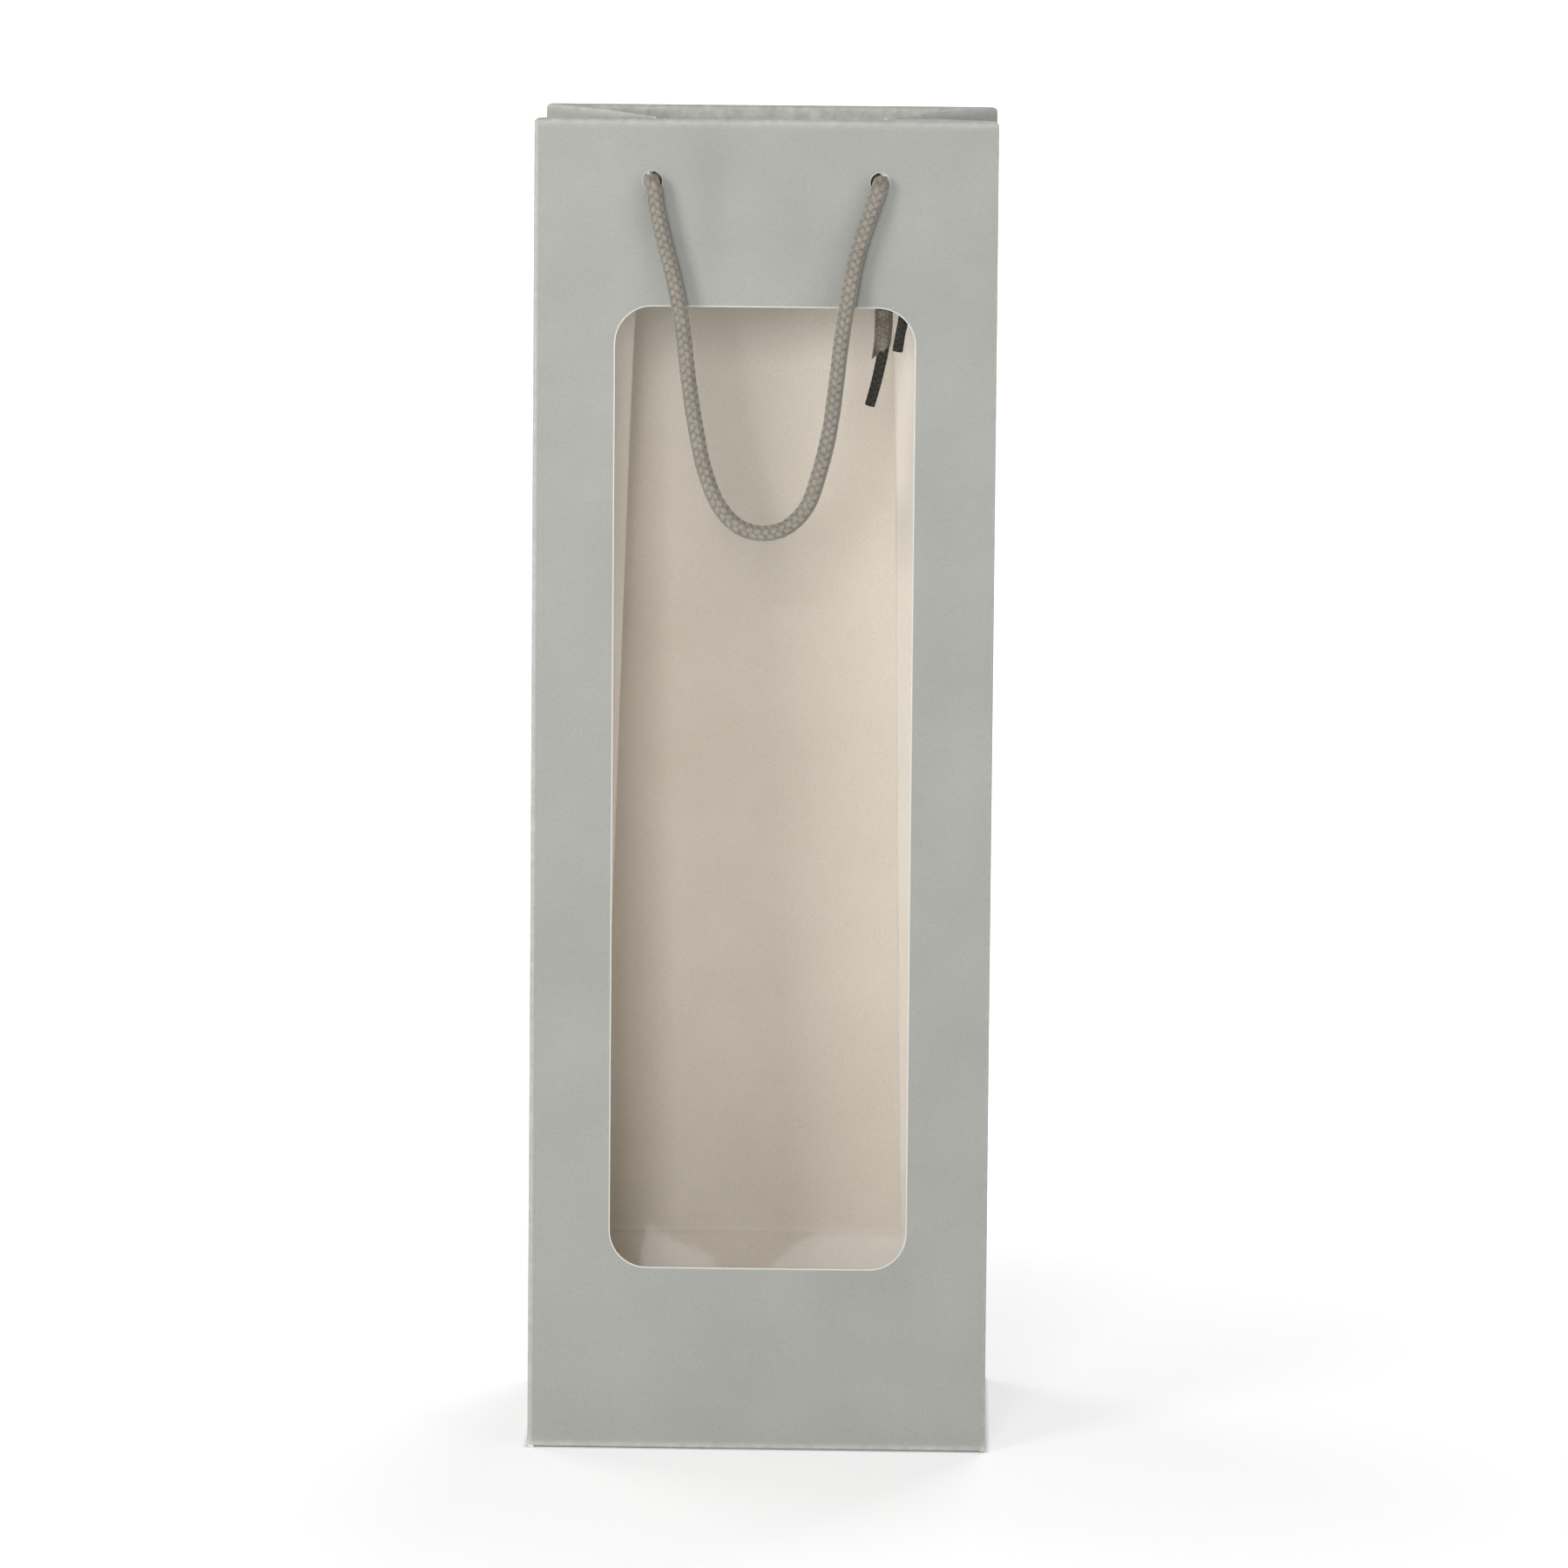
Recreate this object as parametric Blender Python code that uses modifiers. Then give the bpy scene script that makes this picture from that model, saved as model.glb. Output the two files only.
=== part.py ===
"""Bottle gift bag: a tall folded paper bag with a clear window, rope handles and a card base.

Units are metres, +Z is up, the bag stands on z = 0 and its front faces -Y.
The bag is one folded and glued sheet in real life. Here each of its panels is a solid of its own,
with a narrow gap along every crease, so that the wall, the turned-in hem and the base flaps stay separate.
"""
import math

import bmesh
import bpy
from mathutils import Matrix, Vector

# Driving dimensions of the bag
bag_width = 0.125
bag_depth = 0.090
bag_height = 0.360
mouth_depth = 0.065
mouth_pinch = 0.0305
left_base_pinch = 0.0170
right_base_pinch = 0.0235
crease_drop = 0.0018

# Sheet materials
paper_thickness = 0.0005
card_thickness = 0.0008
board_thickness = 0.0010
film_thickness = 0.00025
gap = 0.0003

# Window in the front panel, and the film behind it
window_width = 0.0805
window_end_margin = 0.050
window_corner_radius = 0.010
film_overlap = 0.008
film_corner_radius = 0.003

# Turned-in hem at the mouth
hem_depth = 0.040
hem_corner_inset = 0.005
hem_setback = 0.001
card_side_inset = 0.001

# Handle holes and cords
hole_spacing = 0.061
hole_drop = 0.0165
hole_diameter = 0.0052
cord_diameter = 0.0043
cord_standoff = 0.00045
knot_width = 0.0105
knot_height = 0.0095
knot_depth = 0.0085
tail_diameter = 0.0036
short_tail_diameter = 0.0028

# Base flaps and glued seam
long_flap_reach = 0.060
side_flap_reach = 0.040
side_flap_taper = 0.010
seam_width = 0.015
seam_inset = 0.0015
seam_end_clearance = 0.004

# One overrun for every cut
cut_overrun = 0.004

# Counts
leaf_rows = 12
fold_steps = 6
corner_steps = 6
hole_sides = 24
knot_segments = 24
knot_rings = 14
cord_points = 76
tail_points = 14
route_steps = 24
cord_resolution = 3
tail_resolution = 2

# Handle loop below the line through its holes
handle_drop = 0.0936
handle_lean_out = math.radians(3.0)
# Across the panel as shares of half the hole spacing, and down as shares of the loop's drop
handle_route_shares = [
    (-0.951, 0.085), (-0.879, 0.182), (-0.787, 0.299), (-0.715, 0.427), (-0.662, 0.566),
    (-0.600, 0.694), (-0.518, 0.817), (-0.393, 0.919), (-0.213, 0.981), (0.000, 1.000),
    (0.213, 0.981), (0.390, 0.919), (0.498, 0.817), (0.577, 0.705), (0.626, 0.588),
    (0.666, 0.470), (0.718, 0.353), (0.803, 0.203), (0.918, 0.085),
]

# Free ends of the cords below the line through the holes
front_left_tail_drop = 0.0330
front_right_tail_drop = 0.0600
back_left_tail_drop = 0.0370
back_right_tail_drop = 0.0355
short_tail_drop = 0.0454
# Across from the hole and down from the line, both as shares of the free end's drop
front_left_tail_shares = [(-0.030, 0.400), (-0.045, 0.700), (-0.020, 1.000)]
front_right_tail_shares = [(0.013, 0.300), (0.027, 0.533), (0.022, 0.717), (-0.007, 0.875), (-0.040, 1.000)]
back_left_tail_shares = [(0.015, 0.400), (0.040, 0.700), (0.060, 1.000)]
back_right_tail_shares = [(-0.020, 0.400), (-0.015, 0.700), (0.010, 1.000)]
short_tail_shares = [(0.137, 0.352), (0.163, 0.595), (0.141, 0.804), (0.123, 0.903), (0.108, 1.000)]
# Where the short end leaves its knot, as a share of half the knot's width
short_tail_start_share = 0.78

# Colours
outer_grey = (0.43, 0.43, 0.40)
inner_cream = (0.55, 0.48, 0.40)
card_white = (0.72, 0.70, 0.66)
film_clear = (0.85, 0.87, 0.88)
cord_greige = (0.33, 0.29, 0.25)
cord_charcoal = (0.06, 0.055, 0.05)

# Surface roughness
printed_roughness = 0.55
plain_roughness = 0.70
card_roughness = 0.80
film_roughness = 0.08
cord_roughness = 0.85

# Worked-out sizes
wall_inset = (bag_depth - mouth_depth) / 2
wall_lean = math.atan2(wall_inset, bag_height)
wall_length = (bag_height - paper_thickness * math.sin(wall_lean)) / math.cos(wall_lean)
window_height = wall_length - 2 * window_end_margin
hem_slot = card_thickness + 2 * gap
hem_radius = (2 * paper_thickness + hem_slot) / 2
hem_inner_face = 2 * hem_radius
hole_height = wall_length - hole_drop
leaf_width = bag_depth / 2
gusset_leans = {
    "left": math.asin(left_base_pinch / leaf_width),
    "right": math.asin(right_base_pinch / leaf_width),
}
fold_margin = (paper_thickness + gap) / 2
flap_step = paper_thickness + gap
board_floor = 3 * flap_step


def clear_scene():
    for scene_object in list(bpy.data.objects):
        bpy.data.objects.remove(scene_object, do_unlink=True)


def new_collection(name):
    collection = bpy.data.collections.new(name)
    bpy.context.scene.collection.children.link(collection)
    return collection


clear_scene()
parts = new_collection("bottle_gift_bag")
cutters = new_collection("cutters")


def finish(target, colour, roughness):
    """Gives one object its own material."""
    material = bpy.data.materials.new(target.name + "_finish")
    material.use_nodes = True
    shader = material.node_tree.nodes["Principled BSDF"]
    shader.inputs["Base Color"].default_value = (*colour, 1.0)
    shader.inputs["Roughness"].default_value = roughness
    shader.inputs["Metallic"].default_value = 0.0
    target.data.materials.clear()
    target.data.materials.append(material)


def wall_frame(name, turn):
    """An empty at a wall's lower outer edge: local X across, Y into the bag, Z up the sloping wall."""
    empty = bpy.data.objects.new(name, None)
    parts.objects.link(empty)
    edge = Vector((0, -bag_depth / 2, paper_thickness * math.sin(wall_lean)))
    spin = Matrix.Rotation(turn, 4, "Z")
    empty.matrix_world = spin @ Matrix.Translation(edge) @ Matrix.Rotation(-wall_lean, 4, "X")
    return empty


def add_mesh_object(name, mesh, parent=None, collection=parts):
    created = bpy.data.objects.new(name, mesh)
    collection.objects.link(created)
    created.parent = parent
    return created


def rounded_rectangle(width, height, radius, centre_height):
    """Corner points of a rounded rectangle, counter-clockwise."""
    points = []
    corners = (
        (width / 2 - radius, height / 2 - radius, 0),
        (radius - width / 2, height / 2 - radius, 1),
        (radius - width / 2, radius - height / 2, 2),
        (width / 2 - radius, radius - height / 2, 3),
    )
    for centre_x, centre_y, quarter in corners:
        for step in range(corner_steps + 1):
            angle = (quarter + step / corner_steps) * math.pi / 2
            across = centre_x + radius * math.cos(angle)
            up = centre_y + radius * math.sin(angle) + centre_height
            points.append((across, up))
    return points


def outline_mesh(name, points, thickness):
    """Extrudes a flat outline in the XY plane from z = 0 to its thickness, as a closed mesh."""
    curve = bpy.data.curves.new(name + "_outline", "CURVE")
    curve.dimensions = "2D"
    curve.fill_mode = "BOTH"
    curve.extrude = thickness / 2
    spline = curve.splines.new("POLY")
    spline.points.add(len(points) - 1)
    for point, (across, up) in zip(spline.points, points):
        point.co = (across, up, 0, 1)
    spline.use_cyclic_u = True
    outline = bpy.data.objects.new(name + "_outline", curve)
    bpy.context.scene.collection.objects.link(outline)
    depsgraph = bpy.context.evaluated_depsgraph_get()
    mesh = bpy.data.meshes.new_from_object(outline.evaluated_get(depsgraph))
    bpy.data.objects.remove(outline, do_unlink=True)
    bpy.data.curves.remove(curve)
    shape = bmesh.new()
    shape.from_mesh(mesh)
    bmesh.ops.remove_doubles(shape, verts=shape.verts, dist=film_thickness / 10)
    bmesh.ops.translate(shape, verts=shape.verts, vec=(0, 0, thickness / 2))
    bmesh.ops.recalc_face_normals(shape, faces=shape.faces)
    shape.to_mesh(mesh)
    shape.free()
    mesh.name = name
    return mesh


def upright_sheet(name, points, thickness, inner_face, parent, collection=parts):
    """A flat sheet parallel to a wall, whose outer face lies inner_face behind the wall's outer face."""
    mesh = outline_mesh(name, points, thickness)
    stand = Matrix.Rotation(math.pi / 2, 4, "X")
    mesh.transform(Matrix.Translation((0, inner_face + thickness, 0)) @ stand)
    return add_mesh_object(name, mesh, parent, collection)


def level_sheet(name, points, thickness, floor):
    """A flat sheet parallel to the floor."""
    mesh = outline_mesh(name, points, thickness)
    mesh.transform(Matrix.Translation((0, 0, floor)))
    return add_mesh_object(name, mesh)


def box_outline(left, right, low, high):
    return [(right, high), (left, high), (left, low), (right, low)]


def as_cutter(target):
    target.hide_render = True
    target.display_type = "WIRE"
    return target


def cut(target, cutter):
    modifier = target.modifiers.new("cut_" + cutter.name, "BOOLEAN")
    modifier.operation = "DIFFERENCE"
    modifier.solver = "EXACT"
    modifier.object = cutter


def hole_cutter(name, across, parent):
    """A round cutter through a wall, its card and its hem."""
    shape = bmesh.new()
    length = hem_inner_face + 2 * cut_overrun
    place = Matrix.Translation((across, hem_inner_face / 2, hole_height))
    bmesh.ops.create_cone(
        shape, cap_ends=True, segments=hole_sides,
        radius1=hole_diameter / 2, radius2=hole_diameter / 2, depth=length,
        matrix=place @ Matrix.Rotation(math.pi / 2, 4, "X"))
    mesh = bpy.data.meshes.new(name)
    shape.to_mesh(mesh)
    shape.free()
    return as_cutter(add_mesh_object(name, mesh, parent, cutters))


def hemmed_profile():
    """The wall's section across its thickness: the outer sheet, the rounded fold and the turned-in hem."""
    fold_height = wall_length - hem_radius
    hem_bottom = wall_length - hem_depth
    inner_radius = hem_radius - paper_thickness
    points = [(0, 0)]
    for step in range(fold_steps + 1):
        angle = math.pi - math.pi * step / fold_steps
        points.append((hem_radius * (1 + math.cos(angle)), fold_height + hem_radius * math.sin(angle)))
    points.append((hem_inner_face, hem_bottom))
    points.append((hem_inner_face - paper_thickness, hem_bottom))
    for step in range(fold_steps + 1):
        angle = math.pi * step / fold_steps
        into_bag = hem_radius + inner_radius * math.cos(angle)
        points.append((into_bag, fold_height + inner_radius * math.sin(angle)))
    points.append((paper_thickness, 0))
    return points


def hemmed_wall(name, parent, hole_cutters):
    """A front or back panel: one sheet folded over at the mouth, with its handle holes."""
    mesh = outline_mesh(name, hemmed_profile(), bag_width)
    across = Matrix.Rotation(math.pi / 2, 4, "Z") @ Matrix.Rotation(math.pi / 2, 4, "X")
    mesh.transform(Matrix.Translation((-bag_width / 2, 0, 0)) @ across)
    wall = add_mesh_object(name, mesh, parent)
    for side in (-1, 1):
        inner = side * (bag_width / 2 - hem_corner_inset)
        outer = side * (bag_width / 2 + cut_overrun)
        low = wall_length - hem_depth - cut_overrun
        high = wall_length + cut_overrun
        outline = box_outline(min(inner, outer), max(inner, outer), low, high)
        corner_name = f"{name}_corner_cutter_{'left' if side < 0 else 'right'}"
        reach = hem_inner_face + cut_overrun
        corner = as_cutter(upright_sheet(corner_name, outline, reach, paper_thickness, parent, cutters))
        cut(wall, corner)
    for cutter in hole_cutters:
        cut(wall, cutter)
    return wall


def make_walls(front, back):
    front_holes = [hole_cutter(f"front_hole_{side}", side * hole_spacing / 2, front) for side in (-1, 1)]
    back_holes = [hole_cutter(f"back_hole_{side}", side * hole_spacing / 2, back) for side in (-1, 1)]
    front_panel = hemmed_wall("front_panel", front, front_holes)
    back_panel = hemmed_wall("back_panel", back, back_holes)
    window_points = rounded_rectangle(
        window_width, window_height, window_corner_radius, wall_length / 2)
    window = upright_sheet(
        "window_cutter", window_points, paper_thickness + 2 * cut_overrun, -cut_overrun, front, cutters)
    cut(front_panel, as_cutter(window))
    finish(front_panel, outer_grey, printed_roughness)
    finish(back_panel, outer_grey, printed_roughness)

    card_half = bag_width / 2 - hem_corner_inset - card_side_inset
    card_high = wall_length - hem_radius - card_side_inset
    card_low = wall_length - hem_depth + card_side_inset
    card_points = box_outline(-card_half, card_half, card_low, card_high)
    card_places = (("front_top_card", front, front_holes), ("back_top_card", back, back_holes))
    for name, parent, holes in card_places:
        card = upright_sheet(name, card_points, card_thickness, paper_thickness + gap, parent)
        for cutter in holes:
            cut(card, cutter)
        finish(card, card_white, card_roughness)

    film_high = wall_length - hem_depth - 2 * gap
    film_low = window_end_margin - film_overlap
    film_width = window_width + 2 * film_overlap
    film_centre = (film_high + film_low) / 2
    film_points = rounded_rectangle(film_width, film_high - film_low, film_corner_radius, film_centre)
    film = upright_sheet("window_film", film_points, film_thickness, paper_thickness + gap, front)
    finish(film, film_clear, film_roughness)

    seam_outer = bag_width / 2 - seam_inset
    seam_low = board_floor + board_thickness + seam_end_clearance
    seam_high = wall_length - hem_depth - 2 * gap
    seam_points = box_outline(-seam_outer, seam_width - seam_outer, seam_low, seam_high)
    seam = upright_sheet("side_seam_flap", seam_points, paper_thickness, paper_thickness + gap, back)
    finish(seam, inner_cream, plain_roughness)


def wall_inner_distance(height):
    """Distance from the middle plane to the inner face of the front or back panel at a height."""
    return bag_depth / 2 - height * math.tan(wall_lean) - paper_thickness / math.cos(wall_lean)


def gusset_inner_distance(side, height):
    """Distance from the middle plane to the inner face of a gusset's lower triangle at a height."""
    lean = gusset_leans[side]
    centre_line = bag_width / 2 - paper_thickness / 2 - height * math.tan(lean)
    return centre_line - paper_thickness / 2 / math.cos(lean)


def solidify(target, thickness):
    modifier = target.modifiers.new("thickness", "SOLIDIFY")
    modifier.thickness = thickness
    modifier.offset = 0
    modifier.use_even_offset = True


def grid_object(name, rows):
    """An open sheet lofted through rows of points."""
    sheet = bmesh.new()
    previous = None
    for row in rows:
        current = [sheet.verts.new(point) for point in row]
        if previous:
            for index in range(len(row) - 1):
                sheet.faces.new((previous[index], previous[index + 1], current[index + 1], current[index]))
        previous = current
    mesh = bpy.data.meshes.new(name)
    sheet.to_mesh(mesh)
    sheet.free()
    return add_mesh_object(name, mesh)


def leaf_row(side, share):
    """Corner and crease point of a front leaf, as on the right, at a share of the way from base to mouth."""
    lean = gusset_leans[side]
    edge_x = bag_width / 2 - paper_thickness / 2
    corner_low = 1.5 * paper_thickness + gap
    corner_high = bag_height - fold_margin - paper_thickness / 2
    corner_z = corner_low + share * (corner_high - corner_low)
    corner_y = gap + paper_thickness / 2 - wall_inner_distance(corner_z)
    reach = leaf_width - fold_margin
    apex = Vector((edge_x - reach * math.sin(lean), -fold_margin, reach * math.cos(lean)))
    top = Vector((edge_x - mouth_pinch, -fold_margin, corner_high - crease_drop))
    corner = Vector((edge_x, corner_y, corner_z))
    crease = apex.lerp(top, share)
    return corner, crease


def leaf_normal(corner, crease):
    """Unit vector out of the bag, square to a row and to the upright."""
    along = (crease - corner).normalized()
    normal = along.cross(Vector((0, 0, 1)))
    return normal.normalized() * (1 if normal.x > 0 else -1)


def gusset_leaf(name, side, side_y):
    """Half of a gusset: a twisted sheet from a wall's corner to the centre crease, hemmed at the mouth."""
    rows = [leaf_row(side, step / leaf_rows) for step in range(leaf_rows + 1)]
    outward = leaf_normal(*rows[-1])
    corner_top, crease_top = rows[-1]
    along_top = (crease_top - corner_top).normalized()
    for step in range(1, fold_steps + 1):
        angle = math.pi * step / fold_steps
        lift = Vector((0, 0, fold_margin * math.sin(angle)))
        inward = -outward * fold_margin * (1 - math.cos(angle))
        setback = along_top * hem_setback * step / fold_steps
        rows.append((corner_top + lift + inward + setback, crease_top + lift + inward))
    hem_share = 1 - hem_depth / bag_height
    for share in ((1 + hem_share) / 2, hem_share):
        corner, crease = leaf_row(side, share)
        along = (crease - corner).normalized()
        inward = -leaf_normal(corner, crease) * 2 * fold_margin
        rows.append((corner + inward + along * hem_setback, crease + inward))
    mirror = Matrix.Diagonal((-1 if side == "left" else 1, -side_y, 1))
    leaf = grid_object(name, [[mirror @ point for point in row] for row in rows])
    solidify(leaf, paper_thickness)
    finish(leaf, outer_grey, printed_roughness)


def gusset_triangle(name, side):
    """The gusset's lower triangle, which tips into the bag about the base edge."""
    half_base = bag_depth / 2 - paper_thickness - gap
    foot = paper_thickness / 2 * math.sin(gusset_leans[side])
    points = [(-half_base, 0), (half_base, 0), (0, half_base)]
    mesh = outline_mesh(name, points, paper_thickness)
    stand = Matrix.Rotation(math.pi / 2, 4, "Z") @ Matrix.Rotation(math.pi / 2, 4, "X")
    lean = Matrix.Rotation(-gusset_leans[side], 4, "Y")
    place = Matrix.Translation((bag_width / 2 - paper_thickness / 2, 0, foot))
    mesh.transform(place @ lean @ Matrix.Translation((-paper_thickness / 2, 0, 0)) @ stand)
    triangle = add_mesh_object(name, mesh)
    if side == "left":
        triangle.rotation_euler = (0, 0, math.pi)
    finish(triangle, outer_grey, printed_roughness)


def make_gussets():
    for side in ("left", "right"):
        gusset_leaf(f"{side}_gusset_front_leaf", side, -1)
        gusset_leaf(f"{side}_gusset_back_leaf", side, 1)
        gusset_triangle(f"{side}_gusset_triangle", side)


def base_limits(height):
    """Left, right, back and front limits of a base layer whose top is at a height, a gap inside the walls."""
    left = gap - gusset_inner_distance("left", height)
    right = gusset_inner_distance("right", height) - gap
    edge = wall_inner_distance(height) - gap
    return left, right, edge, -edge


def make_base():
    """Four glued flaps folded under the bag, and the loose card board on top of them."""
    left, right, back, front = base_limits(paper_thickness)
    back_outline = box_outline(left, right, back - long_flap_reach, back)
    back_flap = level_sheet("back_base_flap", back_outline, paper_thickness, 0)
    left, right, back, front = base_limits(flap_step + paper_thickness)
    front_outline = box_outline(left, right, front, front + long_flap_reach)
    front_flap = level_sheet("front_base_flap", front_outline, paper_thickness, flap_step)
    side_floor = 2 * flap_step
    left, right, back, front = base_limits(side_floor + paper_thickness)
    side_flaps = []
    for name, outer, reach in (
        ("left_base_flap", left, side_flap_reach), ("right_base_flap", right, -side_flap_reach),
    ):
        inner = outer + reach
        tapered_back = back - side_flap_taper
        tapered_front = front + side_flap_taper
        outline = [(outer, back), (inner, tapered_back), (inner, tapered_front), (outer, front)]
        side_flaps.append(level_sheet(name, outline, paper_thickness, side_floor))
    for flap in (back_flap, front_flap, *side_flaps):
        finish(flap, inner_cream, plain_roughness)
    left, right, back, front = base_limits(board_floor + board_thickness)
    board = level_sheet("base_board", box_outline(left, right, front, back), board_thickness, board_floor)
    finish(board, inner_cream, card_roughness)


def smooth_route(points, count):
    """Evenly spaced points on a Catmull-Rom curve through the route."""
    padded = [2 * points[0] - points[1], *points, 2 * points[-1] - points[-2]]
    dense = []
    for index in range(1, len(padded) - 2):
        before, start, end, after = padded[index - 1:index + 3]
        for step in range(route_steps):
            t = step / route_steps
            dense.append(0.5 * (
                2 * start + (end - before) * t
                + (2 * before - 5 * start + 4 * end - after) * t ** 2
                + (3 * start - before - 3 * end + after) * t ** 3))
    dense.append(points[-1])
    lengths = [0]
    for first, second in zip(dense, dense[1:]):
        lengths.append(lengths[-1] + (second - first).length)
    result = []
    index = 0
    for step in range(count):
        wanted = lengths[-1] * step / (count - 1)
        while index < len(lengths) - 2 and lengths[index + 1] < wanted:
            index += 1
        share = (wanted - lengths[index]) / (lengths[index + 1] - lengths[index])
        result.append(dense[index].lerp(dense[index + 1], share))
    return result


def cord_tube(name, points, diameter, resolution, parent):
    curve = bpy.data.curves.new(name, "CURVE")
    curve.dimensions = "3D"
    curve.bevel_depth = diameter / 2
    curve.bevel_resolution = resolution
    curve.use_fill_caps = True
    spline = curve.splines.new("POLY")
    spline.points.add(len(points) - 1)
    for point, place in zip(spline.points, points):
        point.co = (*place, 1)
    tube = bpy.data.objects.new(name, curve)
    parts.objects.link(tube)
    tube.parent = parent
    return tube


def make_handle(name, wall):
    """The loop outside the bag, whose origin is on the line it swings about, just outside the holes."""
    pivot = bpy.data.objects.new(name + "_pivot", None)
    parts.objects.link(pivot)
    pivot.parent = wall
    pivot.location = (0, -cord_diameter / 2 - cord_standoff, hole_height)
    pivot.rotation_euler = (-handle_lean_out, 0, 0)
    end_clearance = cord_diameter / 2 + gap
    half_spacing = hole_spacing / 2
    route = [Vector((-half_spacing, 0, -end_clearance))]
    for across, down in handle_route_shares:
        route.append(Vector((across * half_spacing, 0, -down * handle_drop)))
    route.append(Vector((half_spacing, 0, -end_clearance)))
    tube = cord_tube(name, smooth_route(route, cord_points), cord_diameter, cord_resolution, pivot)
    finish(tube, cord_greige, cord_roughness)


def make_knot(name, across, wall):
    """The knot behind a hole with the stretch of cord that passes through the wall, as one body."""
    shape = bmesh.new()
    knot_centre = hem_inner_face + gap + knot_depth / 2
    size = Matrix.Diagonal((knot_width / 2, knot_depth / 2, knot_height / 2, 1))
    bmesh.ops.create_uvsphere(
        shape, u_segments=knot_segments, v_segments=knot_rings, radius=1,
        matrix=Matrix.Translation((across, knot_centre, hole_height)) @ size)
    mesh = bpy.data.meshes.new(name)
    shape.to_mesh(mesh)
    shape.free()
    knot = add_mesh_object(name, mesh, wall)

    stub_start = -cord_diameter / 2 - cord_standoff
    stub_length = knot_centre - stub_start
    shape = bmesh.new()
    bmesh.ops.create_cone(
        shape, cap_ends=True, segments=hole_sides,
        radius1=cord_diameter / 2, radius2=cord_diameter / 2, depth=stub_length,
        matrix=Matrix.Translation((across, stub_start + stub_length / 2, hole_height))
        @ Matrix.Rotation(math.pi / 2, 4, "X"))
    stub_mesh = bpy.data.meshes.new(name + "_stub")
    shape.to_mesh(stub_mesh)
    shape.free()
    stub = as_cutter(add_mesh_object(name + "_stub", stub_mesh, wall, cutters))
    modifier = knot.modifiers.new("join_stub", "BOOLEAN")
    modifier.operation = "UNION"
    modifier.solver = "EXACT"
    modifier.object = stub
    finish(knot, cord_charcoal, cord_roughness)


def make_tail(name, hole_x, start_x, diameter, drop, shares, wall):
    """A free end of a cord, hanging below its knot inside the bag."""
    depth = hem_inner_face + gap + knot_depth / 2
    points = [Vector((start_x, depth, hole_height - knot_height / 2 - gap))]
    for across, down in shares:
        points.append(Vector((hole_x + across * drop, depth, hole_height - down * drop)))
    tube = cord_tube(name, smooth_route(points, tail_points), diameter, tail_resolution, wall)
    finish(tube, cord_charcoal, cord_roughness)


front_wall = wall_frame("front_wall", 0)
back_wall = wall_frame("back_wall", math.pi)
make_walls(front_wall, back_wall)
make_gussets()
make_base()
make_handle("front_handle_cord", front_wall)
make_handle("back_handle_cord", back_wall)
for end_name, end_side, end_wall, end_drop, end_shares in (
    ("front_left", -1, front_wall, front_left_tail_drop, front_left_tail_shares),
    ("front_right", 1, front_wall, front_right_tail_drop, front_right_tail_shares),
    ("back_left", 1, back_wall, back_left_tail_drop, back_left_tail_shares),
    ("back_right", -1, back_wall, back_right_tail_drop, back_right_tail_shares),
):
    hole_x = end_side * hole_spacing / 2
    make_knot(end_name + "_knot", hole_x, end_wall)
    make_tail(end_name + "_tail", hole_x, hole_x, tail_diameter, end_drop, end_shares, end_wall)
right_hole_x = hole_spacing / 2
make_tail(
    "front_right_short_tail", right_hole_x, right_hole_x + short_tail_start_share * knot_width / 2,
    short_tail_diameter, short_tail_drop, short_tail_shares, front_wall)
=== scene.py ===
"""Looks of the bottle gift bag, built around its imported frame.

Units are metres, +Z is up and the window faces -Y. The paper is one die-cut blank: it is meshed flat, with
its window and holes, and then folded by a formula into a shell with rounded folds, soft dents and a hem.
Flat positions are s, round the bag from the front left corner, and t, up the sheet from the base fold.
"""
import math

import bmesh
import bpy
import numpy as np
from mathutils import Matrix, Vector, geometry, noise


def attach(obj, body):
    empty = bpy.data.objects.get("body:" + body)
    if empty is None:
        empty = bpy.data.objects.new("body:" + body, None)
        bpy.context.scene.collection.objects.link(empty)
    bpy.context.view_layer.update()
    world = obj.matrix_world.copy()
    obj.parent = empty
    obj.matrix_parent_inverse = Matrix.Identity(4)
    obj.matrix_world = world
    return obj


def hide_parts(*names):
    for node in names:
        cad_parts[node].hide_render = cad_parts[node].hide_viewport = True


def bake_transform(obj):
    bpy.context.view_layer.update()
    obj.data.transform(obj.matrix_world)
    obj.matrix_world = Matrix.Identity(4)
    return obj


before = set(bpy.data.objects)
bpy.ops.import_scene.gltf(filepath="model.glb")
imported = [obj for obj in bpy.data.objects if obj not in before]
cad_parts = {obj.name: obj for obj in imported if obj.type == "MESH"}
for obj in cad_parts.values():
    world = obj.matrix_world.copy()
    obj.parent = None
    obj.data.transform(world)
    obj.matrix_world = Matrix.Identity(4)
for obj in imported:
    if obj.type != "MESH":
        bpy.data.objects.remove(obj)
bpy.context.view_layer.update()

# Sizes of the bag, as in the frame's source
bag_width = 0.125
bag_depth = 0.090
bag_height = 0.360
mouth_depth = 0.065
mouth_pinch = 0.0305
left_base_pinch = 0.0170
right_base_pinch = 0.0235
paper_thickness = 0.0005
card_thickness = 0.0008
film_thickness = 0.00025
gap = 0.0003
window_width = 0.0805
window_end_margin = 0.050
window_corner_radius = 0.010
film_overlap = 0.008
hem_depth = 0.040
hem_corner_inset = 0.005
card_side_inset = 0.001
hole_spacing = 0.061
hole_drop = 0.0165
hole_diameter = 0.0052
flap_reach = 0.060
flap_side_inset = 0.0022
seam_width = 0.015
seam_inset = 0.0015
seam_bottom = 0.0075
cord_diameter = 0.0043
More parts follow.
